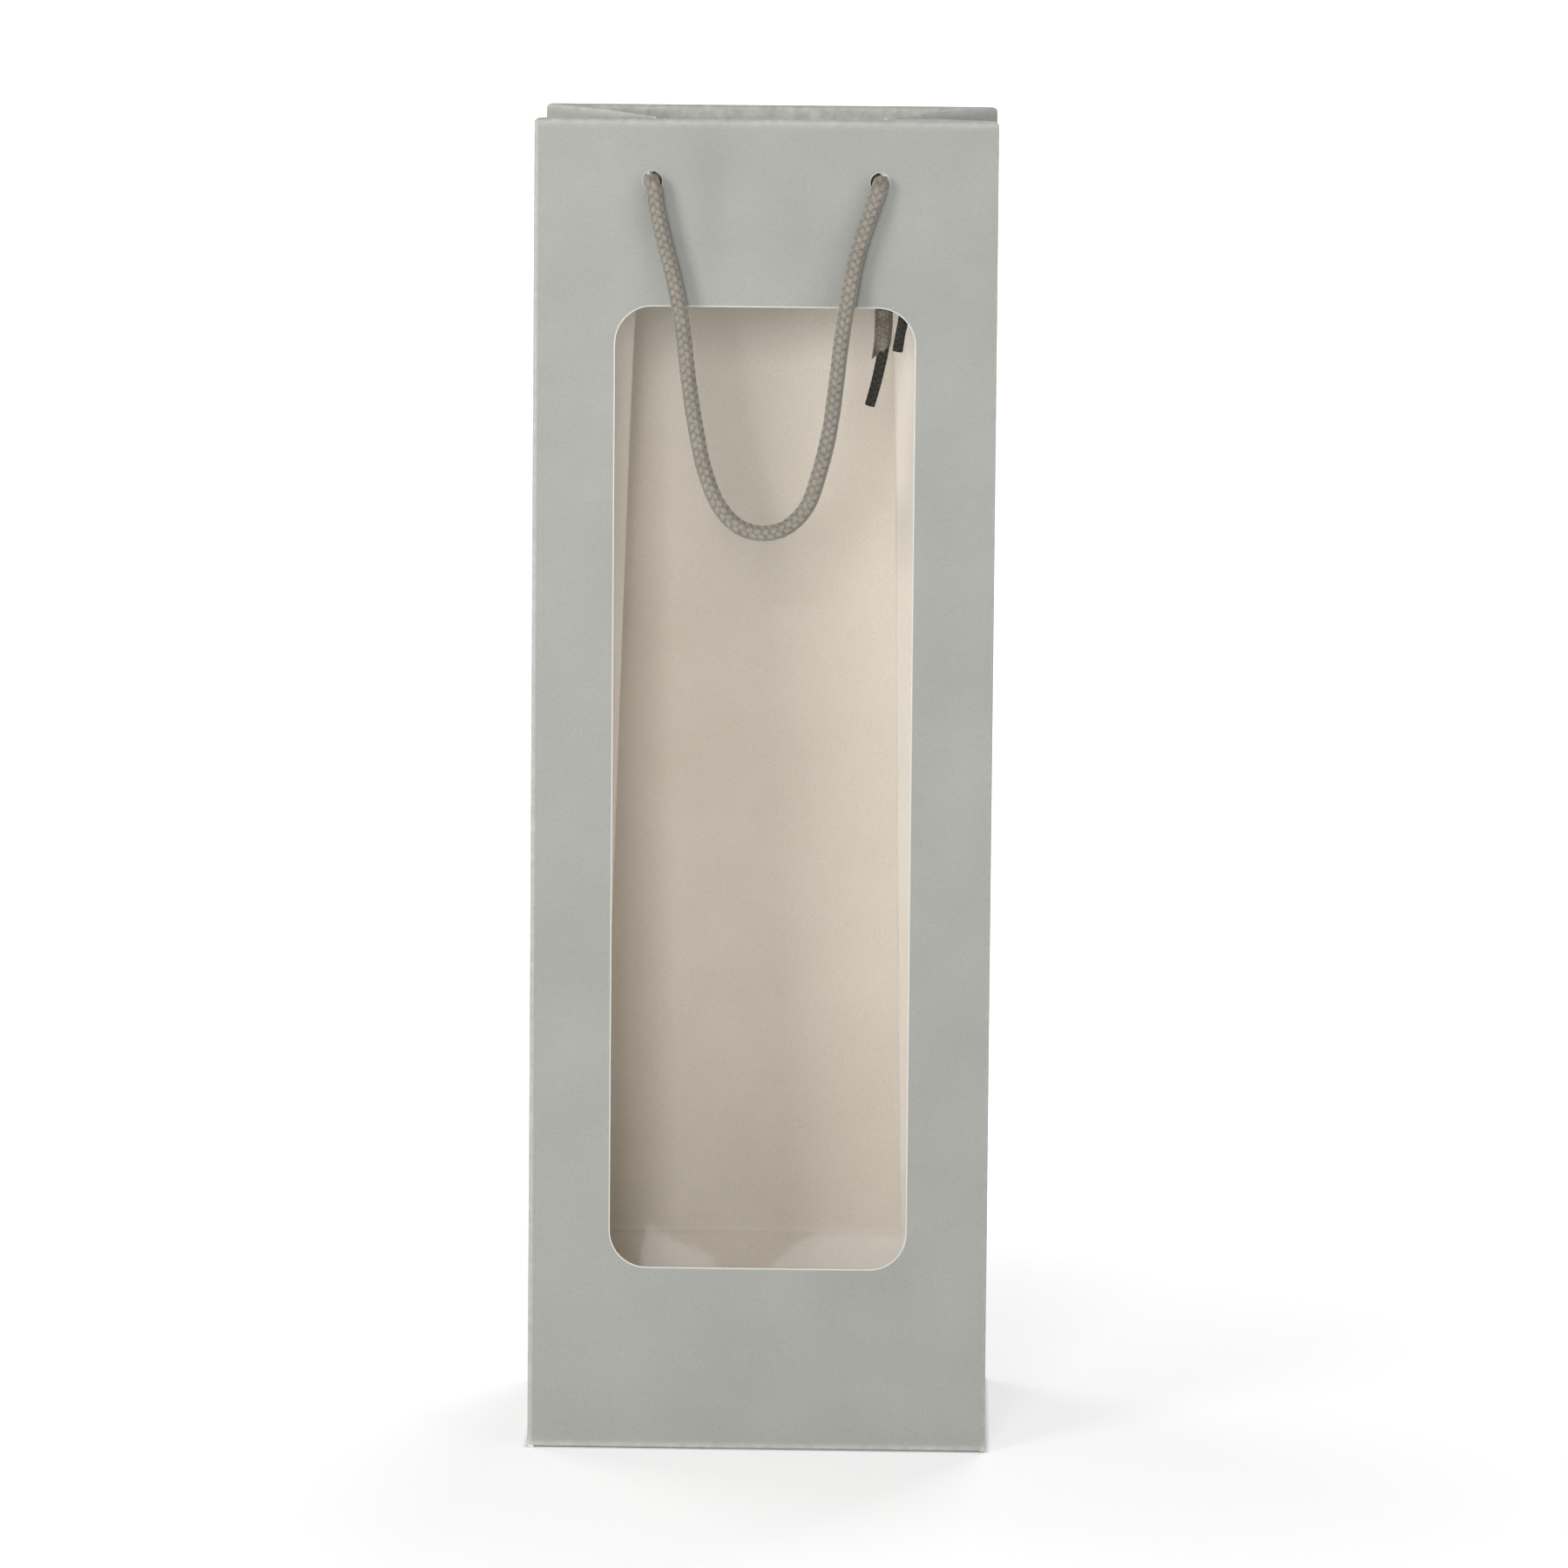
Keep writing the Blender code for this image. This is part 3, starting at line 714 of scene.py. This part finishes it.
def make_cards(material):
    """The two reinforcing cards inside the hem, with room for the cord."""
    inset = hem_corner_inset + card_side_inset
    low = flat_height(wall_length - hem_depth + card_side_inset)
    high = flat_height(wall_length - hem_rise - half_sheet - card_side_inset)
    depth = half_sheet + gap + card_thickness / 2
    for side, start in zip(("front", "back"), wall_starts):
        limits = (start + inset, start + bag_width - inset, low, high)
        card, _, _ = wall_sheet(f"{side}_hem_card", limits, depth, card_grid, [material])
        clean(card)
        thicken(card, card_thickness)
        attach(card, "bag")
        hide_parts(f"{side}_top_card")


def make_seam(materials):
    """The glued seam flap inside the back wall's right edge."""
    start = back_start + seam_inset
    limits = (start, start + seam_width, flat_height(seam_bottom), below_hem)
    seam, _, _ = wall_sheet("glued_seam_flap", limits, paper_thickness + gap, seam_grid, materials)
    thicken(seam, paper_thickness)
    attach(seam, "bag")
    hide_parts("side_seam_flap")


# Cords

# Elbow of a handle, whose end goes past the hem: towards the bag's middle, into the bag and up
elbow_end = 0.0012
elbow_points = [
    (0.0, hem_inner_face + elbow_end, -0.0003), (0.0, 0.0022, -0.0003), (0.0, 0.0004, -0.0003),
    (0.0001, -0.0014, -0.0006), (0.0004, -0.0024, -0.0016), (0.0009, -0.0027, -0.0032),
]

# Braids: columns of plaits round the cord, their length, their relief as a share of the radius, and sides
handle_braid = (8, 0.00227, 0.2, 48)
knot_braid = (6, 0.002, 0.16, 24)
tail_braid = (6, 0.0017, 0.12, 30)
short_tail_braid = (6, 0.0015, 0.1, 30)
sheath_braid = (12, 0.0013, 0.16, 60)
plait_lean = 0.22
plait_width = 0.78
plait_length = 0.60

# Distances between the rings of the tubes
handle_spacing = 0.00028
tail_spacing = 0.00030
knot_spacing = 0.00035
curve_steps = 24

# How much a cord's thickness varies and over what length, how far its ends stand out, and where fray begins
unevenness = 0.025
unevenness_size = 0.004
end_bulge = 0.12
end_plait_height = 0.2
fray_start = 0.8

# The knot's cord, as shares of the knot's size
knot_cord_radius = 0.30
knot_loop_reach = 0.3036
knot_loop_depth = 0.248
knot_entry = 0.45
knot_exit = 0.48
knot_turns = 1.5
knot_steps = 14
knot_pull = 0.34
knot_slant = 0.6

# Where the free ends start in their knots, and the front right end's taper and loose sheath. The profile
# is shares of the sheath's length, and its thickness there as shares of the end's.
tail_start = (0, 0, -0.001)
short_tail_start = (0.3 * knot_width, 0, -0.2 * knot_height)
front_right_taper = (1.05, 0.77)
sheath_length = 0.0445
sheath_offset = (-0.0005, 0, 0)
sheath_profile = ((0, 0.85, 1), (1.38, 1.346, 1.24))
sheath_fray = 0.0017


def wall_matrix(back):
    """The frame of a wall: X across, Y into the bag, Z up its slope, from its lower outer edge."""
    edge = Vector((0, -bag_depth / 2, paper_thickness * math.sin(wall_lean)))
    spin = Matrix.Rotation(math.pi if back else 0, 4, "Z")
    return spin @ Matrix.Translation(edge) @ Matrix.Rotation(-wall_lean, 4, "X")


def distances_along(path):
    return np.concatenate([[0], np.cumsum(np.linalg.norm(np.diff(path, axis=0), axis=1))])


def smooth_route(points, spacing):
    """Evenly spaced points on a Catmull-Rom curve through the route."""
    points = np.array([tuple(point) for point in points])
    padded = [2 * points[0] - points[1], *points, 2 * points[-1] - points[-2]]
    dense = []
    for before, start, end, after in zip(padded, padded[1:], padded[2:], padded[3:]):
        for step in range(curve_steps):
            u = step / curve_steps
            dense.append(0.5 * (
                2 * start + (end - before) * u
                + (2 * before - 5 * start + 4 * end - after) * u ** 2
                + (3 * start - before - 3 * end + after) * u ** 3))
    dense = np.array([*dense, points[-1]])
    lengths = distances_along(dense)
    wanted = np.linspace(0, lengths[-1], max(2, round(lengths[-1] / spacing) + 1))
    return np.stack([np.interp(wanted, lengths, dense[:, axis]) for axis in range(3)], axis=1)


def path_frames(path):
    """Tangents and two normals along a path, carried on without twist."""
    tangents = np.gradient(path, axis=0)
    tangents /= np.linalg.norm(tangents, axis=1, keepdims=True)
    normal = np.cross(tangents[0], (0.0, 0.0, 1.0) if abs(tangents[0][2]) < 0.9 else (0.0, 1.0, 0.0))
    normals = []
    for tangent in tangents:
        normal = normal - tangent * normal.dot(tangent)
        normal /= np.linalg.norm(normal)
        normals.append(normal)
    normals = np.array(normals)
    return tangents, normals, np.cross(tangents, normals)


def plaits(angle, along, columns, pitch):
    """Height from 0 to 1 of a braid's lobes, which lie in staggered columns and lean to both sides."""
    place = angle * columns / math.tau
    height = np.zeros_like(place)
    for neighbour in (-1, 0, 1):
        column = np.round(place) + neighbour
        across = place - column
        lean = np.where(column % 2 == 0, plait_lean, -plait_lean)
        turn = along / pitch + 0.5 * (column % 2) + lean * across
        down = turn - np.round(turn)
        lobe = 1 - (across / plait_width) ** 2 - (down / plait_length) ** 2
        height = np.maximum(height, np.sqrt(np.clip(lobe, 0, 1)))
    return height


def knitted_tube(name, path, radii, braid, material, frayed=0.0):
    """A cord as a closed tube along a path, with plaits as real relief, whose height is an attribute."""
    columns, pitch, relief, sides = braid
    radii = np.broadcast_to(radii, len(path))
    tangents, normals, binormals = path_frames(path)
    along = distances_along(path)
    angles = np.arange(sides) * math.tau / sides
    tufts = np.array([noise.noise(Vector((3 * math.cos(a), 3 * math.sin(a), 0.5))) for a in angles])
    verts, heights = [], []
    for k, centre in enumerate(path):
        height = plaits(angles, along[k], columns, pitch)
        uneven = 1 + unevenness * noise.noise(Vector(centre) / unevenness_size)
        radius = radii[k] * uneven * (1 - relief + relief * height)
        outward = np.cos(angles)[:, None] * normals[k] + np.sin(angles)[:, None] * binormals[k]
        late = max(0.0, k / (len(path) - 1) - fray_start) / (1 - fray_start)
        tuft = frayed * late ** 2 * (tufts - outward[:, 0])
        verts.extend(centre + radius[:, None] * outward + tuft[:, None] * tangents[k])
        heights.extend(height)
    rings = np.arange(len(verts)).reshape(-1, sides)
    after = np.roll(rings, -1, axis=1)
    faces = np.stack([rings[:-1], after[:-1], after[1:], rings[1:]], axis=2).reshape(-1, 4).tolist()
    for k, direction in ((0, -1), (-1, 1)):
        faces += [(*pair[::direction], len(verts)) for pair in zip(rings[k].tolist(), after[k].tolist())]
        verts.append(path[k] + direction * end_bulge * radii[k] * tangents[k])
        heights.append(end_plait_height)
    tube = add_mesh(name, verts, faces, [material])
    float_attribute(tube, "plait_height", heights)
    tube.data.shade_smooth()
    return tube


def make_handle(name, node, back, material):
    """A loop with its two elbows: it comes out of one hole, hangs and goes back in at the other."""
    wall = wall_matrix(back)
    half = hole_spacing / 2
    pivot = Vector((0, -cord_diameter / 2 - cord_standoff, hole_height))
    hang = wall @ Matrix.Translation(pivot) @ Matrix.Rotation(-handle_lean_out, 4, "X")
    left = [wall @ Vector((x - half, y, hole_height + z)) for x, y, z in elbow_points]
    loop = [hang @ Vector((x * half, 0, -down * handle_drop)) for x, down in handle_route_shares]
    right = [wall @ Vector((half - x, y, hole_height + z)) for x, y, z in elbow_points[::-1]]
    path = smooth_route([*left, *loop, *right], handle_spacing)
    cord = knitted_tube(name, path, cord_diameter / 2, handle_braid, material)
    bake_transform(cord)
    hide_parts(node)


def knot_route(centre, wall):
    """An overhand knot: in from the hole, one and a half times round and out below."""
    points = [Vector((0, -knot_entry * knot_depth, 0))]
    for step in range(knot_steps + 1):
        turn = step / knot_steps * knot_turns * math.tau + math.pi
        radius = 1 - knot_pull * math.cos(knot_turns * turn)
        points.append(Vector((
            knot_loop_reach * knot_width * radius * math.sin(turn),
            knot_loop_depth * knot_depth * math.sin(knot_turns * turn + knot_slant),
            knot_loop_reach * knot_height * radius * math.cos(turn))))
    points.append(Vector((0, 0, -knot_exit * knot_height)))
    return [wall @ (centre + point) for point in points]


def make_tail(name, node, route, diameter, taper, braid, material):
    """A free end of cord that hangs from a knot. The taper is its thickness at both ends, as shares."""
    path = smooth_route(route, tail_spacing)
    tail = knitted_tube(name, path, diameter / 2 * np.linspace(*taper, len(path)), braid, material)
    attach(tail, "bag")
    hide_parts(node)
    return path


def knot_centre(side):
    return Vector((side * hole_spacing / 2, hem_inner_face + gap + knot_depth / 2, hole_height))


def tail_route(wall, centre, start, tail):
    """The route of a free end, from its start in a knot."""
    drop, shares = tail
    places = [start, *((across * drop, 0, -down * drop) for across, down in shares)]
    return [wall @ (centre + Vector(place)) for place in places]


def make_end(name, side, back, tail, knot_yarn, tail_yarn, taper=(1, 1)):
    """A knot behind a hole, and the free end of the cord that hangs from it."""
    wall, centre = wall_matrix(back), knot_centre(side)
    path = smooth_route(knot_route(centre, wall), knot_spacing)
    knot = knitted_tube(
        f"{name}_overhand_knot", path, knot_cord_radius * knot_height, knot_braid, knot_yarn)
    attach(knot, "bag")
    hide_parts(f"{name}_knot")
    route = tail_route(wall, centre, tail_start, tail)
    return make_tail(
        f"{name}_free_end", f"{name}_tail", route, tail_diameter, taper, tail_braid,
        tail_yarn)


def make_second_end(material):
    """The shorter dark end that hangs from the front right knot."""
    wall, centre = wall_matrix(False), knot_centre(1)
    route = tail_route(wall, centre, short_tail_start, short_tail)
    make_tail(
        "front_right_second_end", "front_right_short_tail", route, short_tail_diameter, (1, 1),
        short_tail_braid, material)


def make_sheath(path, material):
    """The loose sheath on the upper part of the front right end, with a slanting, frayed cut."""
    count = int(sheath_length / tail_spacing)
    swell = np.interp(np.linspace(0, 1, count), *sheath_profile)
    sheath = knitted_tube(
        "front_right_loose_sheath", path[:count] + sheath_offset, tail_diameter / 2 * swell,
        sheath_braid, material, sheath_fray)
    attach(sheath, "bag")


# Nodes that the materials share

def feed(tree, value, socket):
    """Links an output to a socket, or writes a constant on it."""
    if isinstance(value, bpy.types.NodeSocket):
        tree.links.new(value, socket)
    else:
        socket.default_value = value


def add_node(tree, kind, inputs, **settings):
    """A shader node with its settings, and its inputs by their names or numbers."""
    node = tree.nodes.new("ShaderNode" + kind)
    for name, value in settings.items():
        setattr(node, name, value)
    for socket, value in inputs.items():
        feed(tree, value, node.inputs[socket])
    return node


def new_material(name):
    material = bpy.data.materials.new(name)
    material.use_nodes = True
    return material, material.node_tree


def set_shader(tree, inputs):
    """Feeds the material's main shader."""
    shader = tree.nodes["Principled BSDF"]
    for socket, value in inputs.items():
        feed(tree, value, shader.inputs[socket])
    return shader


def noise_node(tree, scale, detail, stretch=None):
    """A noise texture on the object's own coordinates, stretched if need be."""
    place = add_node(tree, "TexCoord", {}).outputs["Object"]
    if stretch:
        place = add_node(tree, "Mapping", {"Vector": place, "Scale": stretch}).outputs["Vector"]
    return add_node(tree, "TexNoise", {"Vector": place, "Scale": scale, "Detail": detail}).outputs["Fac"]


def attribute_node(tree, name):
    return add_node(tree, "Attribute", {}, attribute_name=name).outputs["Fac"]


def ramp_node(tree, value, stops):
    ramp = add_node(tree, "ValToRGB", {"Fac": value})
    for element, (position, colour) in zip(ramp.color_ramp.elements, stops):
        element.position = position
        element.color = (*colour, 1)
    for position, colour in stops[2:]:
        ramp.color_ramp.elements.new(position).color = (*colour, 1)
    return ramp.outputs["Color"]


def mix_colour(tree, factor, first, second, blend="MIX"):
    inputs = {0: factor, 6: first, 7: second}
    return add_node(tree, "Mix", inputs, data_type="RGBA", blend_type=blend).outputs[2]


def math_node(tree, operation, *values):
    return add_node(tree, "Math", dict(enumerate(values)), operation=operation).outputs[0]


def mix_shader(tree, factor, first, second):
    return add_node(tree, "MixShader", {0: factor, 1: first, 2: second}).outputs["Shader"]


def seen_node(tree):
    """1 for rays from the camera, from reflections and through clear pieces, and 0 for light."""
    path = add_node(tree, "LightPath", {}).outputs
    seen = math_node(tree, "MAXIMUM", path["Is Camera Ray"], path["Is Glossy Ray"])
    return math_node(tree, "MAXIMUM", seen, path["Is Transmission Ray"])


def bump(tree, shader, layers):
    """Stacks bump layers of (height, strength, distance) on a shader."""
    below = {}
    for height, strength, distance in layers:
        inputs = {"Height": height, "Strength": strength, "Distance": distance, **below}
        below = {"Normal": add_node(tree, "Bump", inputs).outputs["Normal"]}
    feed(tree, below["Normal"], shader.inputs["Normal"])


# Materials

cut_edge_colour = (0.74, 0.73, 0.7, 1)


def paper_material(name, dark, light, roughness, grain, fibre, wear_and_highlight_colour=None):
    """Paper with mottled colour, fine grain, long fibres, and folds painted pale for wear and highlight."""
    material, tree = new_material(name)
    colour = ramp_node(tree, noise_node(tree, 34.0, 5.0), [(0.3, dark), (0.7, light)])
    speck = noise_node(tree, 2600.0, 2.0)
    speckled = ramp_node(tree, speck, [(0.32, (0.93, 0.93, 0.93)), (0.62, (1.03, 1.03, 1.03))])
    colour = mix_colour(tree, 1.0, colour, speckled, "MULTIPLY")
    # Wear and painted highlight: the fold mask mixes the pale colour in at the folds, rim and foot.
    wear_and_highlight = math_node(tree, "MULTIPLY", attribute_node(tree, "fold_wear_and_highlight"), noise_node(tree, 420.0, 4.0))
    colour = mix_colour(tree, wear_and_highlight, colour, (*(wear_and_highlight_colour or light), 1))
    colour = mix_colour(tree, attribute_node(tree, "cut_wear"), colour, cut_edge_colour)
    gloss = noise_node(tree, 160.0, 3.0)
    shader = set_shader(tree, {
        "Base Color": colour, "Specular IOR Level": 0.35,
        "Roughness": math_node(tree, "MULTIPLY_ADD", gloss, 0.16, roughness - 0.08)})
    bump(tree, shader, [
        (noise_node(tree, 1500.0, 3.0), grain, 0.00004),
        (noise_node(tree, 900.0, 3.0, (0.16, 1.0, 1.0)), fibre, 0.00003),
        (noise_node(tree, 55.0, 3.0), 0.25, 0.0002),
    ])
    return material


def film_material():
    """Thin clear film: nearly see-through, with gloss that grows at a slant, faint ripples and two painted
    reflections.
    """
    material, tree = new_material("clear_film_finish")
    haze = noise_node(tree, 26.0, 3.0)
    facing = add_node(tree, "LayerWeight", {"Blend": 0.25}).outputs["Facing"]
    alpha = math_node(tree, "MULTIPLY_ADD", facing, 0.22, 0.007)
    clouded = math_node(tree, "MULTIPLY", alpha, math_node(tree, "ADD", haze, 0.5))
    shader = set_shader(tree, {
        "Base Color": ramp_node(tree, haze, [(0.3, (0.88, 0.88, 0.86)), (0.7, (0.96, 0.96, 0.95))]),
        "Roughness": 0.10, "Specular IOR Level": 0.6,
        # Painted reflections: the mask makes the film whiter and less clear in two patches.
        "Alpha": math_node(tree, "MULTIPLY_ADD", attribute_node(tree, "painted_film_reflection"), 0.048, clouded)})
    bump(tree, shader, [(noise_node(tree, 70.0, 2.0), 0.25, 0.0004)])
    return material


def cord_material(name, painted_groove_shade, middle, painted_crown_highlight, sheen, blotch=0.1):
    """Knitted yarn with painted shade between the plaits and a painted highlight on their crowns, with
    filaments and a sheen.
    """
    material, tree = new_material(name)
    fuzz = noise_node(tree, 1900.0, 4.0)
    varied = math_node(tree, "MULTIPLY_ADD", fuzz, 0.7, -0.35)
    level = math_node(tree, "ADD", attribute_node(tree, "plait_height"), varied)
    # Painted shade in the low places between the plaits and painted highlight on their high crowns.
    colour = ramp_node(tree, level, [(0.28, painted_groove_shade), (0.66, middle), (1.0, painted_crown_highlight)])
    dull = (1 - blotch, 1 - blotch, 1 - 1.3 * blotch)
    bright = (1 + 0.7 * blotch, 1 + 0.5 * blotch, 1 + 0.4 * blotch)
    tint = ramp_node(tree, noise_node(tree, 240.0, 3.0), [(0.32, dull), (0.68, bright)])
    shader = set_shader(tree, {
        "Base Color": mix_colour(tree, 1.0, colour, tint, "MULTIPLY"), "Roughness": 0.85,
        "Specular IOR Level": 0.2, "Sheen Weight": sheen, "Sheen Roughness": 0.5})
    filaments = noise_node(tree, 2600.0, 2.0, (1.0, 1.0, 0.3))
    bump(tree, shader, [(filaments, 0.7, 0.00012), (fuzz, 0.4, 0.0001)])
    return material


# Distances where the floor's white begins to grow and is full, and the dark line left at the foot
white_start = 0.1
white_full = 0.6
foot_line_width = 0.0012


def floor_material():
    """A pale floor. To the camera it is white away from the bag, and it keeps the bag's shadow."""
    material, tree = new_material("pale_floor_finish")
    seen = seen_node(tree)
    colour = mix_colour(tree, seen, (0.64, 0.64, 0.63, 1), (0.86, 0.86, 0.86, 1))
    shader = set_shader(tree, {"Base Color": colour, "Roughness": 0.9, "Specular IOR Level": 0.0})
    place = add_node(tree, "NewGeometry", {}).outputs["Position"]
    away = add_node(tree, "VectorMath", {0: place}, operation="LENGTH").outputs["Value"]
    far = add_node(
        tree, "MapRange", {"Value": away, "From Min": white_start, "From Max": white_full, "To Min": 0.36},
        interpolation_type="SMOOTHERSTEP").outputs["Result"]
    split = add_node(tree, "SeparateXYZ", {0: place}).outputs
    beside = [
        math_node(tree, "SUBTRACT", math_node(tree, "ABSOLUTE", split[axis]), size / 2)
        for axis, size in enumerate((bag_width, bag_depth))
    ]
    beyond = math_node(tree, "MAXIMUM", *beside)
    clear = add_node(tree, "MapRange", {"Value": beyond, "From Max": foot_line_width}).outputs["Result"]
    shown = math_node(tree, "MULTIPLY", math_node(tree, "MULTIPLY", far, clear), seen)
    white = add_node(tree, "Emission", {"Color": (1, 1, 1, 1), "Strength": 1.33}).outputs["Emission"]
    surface = mix_shader(tree, shown, shader.outputs["BSDF"], white)
    feed(tree, surface, tree.nodes["Material Output"].inputs["Surface"])
    return material


# Camera, floor and light

def make_camera():
    data = bpy.data.cameras.new("camera")
    camera = add_object("camera", data)
    data.sensor_width = sensor_width
    data.lens = pixels_per_metre * camera_distance * sensor_width / image_size
    data.shift_x = (image_size / 2 - bag_centre_pixel[0]) / image_size
    data.shift_y = (bag_centre_pixel[1] - image_size / 2) / image_size
    data.clip_start = 0.05
    data.clip_end = 60
    back = Matrix.Rotation(-camera_yaw, 3, "Z") @ Vector(
        (0, -math.cos(camera_elevation), math.sin(camera_elevation)))
    look = (-back).to_track_quat("-Z", "Y").to_matrix().to_4x4()
    place = Matrix.Translation(bag_middle + back * camera_distance)
    camera.matrix_world = place @ look @ Matrix.Rotation(camera_roll, 4, "Z")
    bpy.context.scene.camera = camera


def make_floor():
    floor = add_mesh(
        "floor", [(-6, -6, 0), (6, -6, 0), (6, 12, 0), (-6, 12, 0)], [(0, 1, 2, 3)], [floor_material()])


def make_lamp(name, place, size, power):
    data = bpy.data.lights.new(name, "AREA")
    data.shape = "RECTANGLE"
    data.size, data.size_y = size
    data.energy = power
    lamp = add_object(name, data)
    lamp.location = place
    lamp.visible_camera = False
    lamp.rotation_euler = (bag_middle - Vector(place)).to_track_quat("-Z", "Y").to_euler()


def make_world():
    """A pale studio that shows as plain white and lights the bag less strongly."""
    world = bpy.data.worlds.new("pale_studio")
    bpy.context.scene.world = world
    world.use_nodes = True
    tree = world.node_tree
    tree.nodes.clear()
    light, white = [
        add_node(tree, "Background", {"Color": (1, 1, 1, 1), "Strength": strength}).outputs["Background"]
        for strength in (world_light, 1.0)
    ]
    add_node(tree, "OutputWorld", {"Surface": mix_shader(tree, seen_node(tree), light, white)})


make_camera()
for lamp_name, (lamp_place, lamp_size, lamp_power) in lamps.items():
    make_lamp(lamp_name, lamp_place, lamp_size, lamp_power)
make_world()
bpy.context.scene.view_settings.view_transform = "Standard"
make_floor()

# The last colour given to the outer and inner paper is their pale colour of wear and painted highlight at
# the folds.
outer_paper = paper_material(
    "outer_paper_finish", (0.29, 0.294, 0.272), (0.322, 0.326, 0.302), 0.55, 0.3, 0.25,
    (0.7, 0.7, 0.665))
inner_paper = paper_material(
    "inner_paper_finish", (0.738, 0.681, 0.596), (0.788, 0.731, 0.646), 0.75, 0.3, 0.22,
    (0.76, 0.7, 0.63))
cut_paper = paper_material("cut_paper_finish", (0.66, 0.64, 0.6), (0.76, 0.74, 0.7), 0.85, 0.5, 0.5)
card_stock = paper_material("card_finish", (0.66, 0.64, 0.6), (0.74, 0.72, 0.68), 0.8, 0.45, 0.4)
board_stock = paper_material("board_finish", (0.66, 0.6, 0.51), (0.72, 0.66, 0.57), 0.78, 0.5, 0.6)
# In each yarn the first colour is painted shade between the plaits and the third a painted highlight on
# their crowns.
greige_yarn = cord_material(
    "greige_yarn_finish", (0.095, 0.088, 0.075), (0.2, 0.184, 0.156), (0.295, 0.273, 0.236), 0.25)
charcoal_yarn = cord_material(
    "charcoal_yarn_finish", (0.003, 0.002, 0.002), (0.012, 0.01, 0.007), (0.034, 0.029, 0.022), 0.02)
# The sheath's yarn is a darker, browner copy of the greige yarn: painted shade for the sheath that hangs
# inside the bag.
shaded_sheath_yarn = cord_material(
    "sheath_yarn_finish", (0.055, 0.048, 0.037), (0.142, 0.127, 0.103), (0.235, 0.206, 0.176), 0.15, 0.38)

make_handle("front_knitted_handle", "front_handle_cord", False, greige_yarn)
make_handle("back_knitted_handle", "back_handle_cord", True, greige_yarn)
make_end("front_left", -1, False, front_left_tail, greige_yarn, charcoal_yarn)
front_right_path = make_end(
    "front_right", 1, False, front_right_tail, greige_yarn, charcoal_yarn, front_right_taper)
make_second_end(charcoal_yarn)
make_sheath(front_right_path, shaded_sheath_yarn)
make_end("back_left", 1, True, back_left_tail, greige_yarn, charcoal_yarn)
make_end("back_right", -1, True, back_right_tail, greige_yarn, charcoal_yarn)

make_bag([outer_paper, inner_paper, cut_paper])
make_film(film_material())
make_cards(card_stock)
make_seam([outer_paper, inner_paper, cut_paper])

for node, material in (
    ("left_base_flap", inner_paper), ("right_base_flap", inner_paper), ("base_board", board_stock),
):
    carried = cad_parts[node]
    carried.data.materials.clear()
    carried.data.materials.append(material)
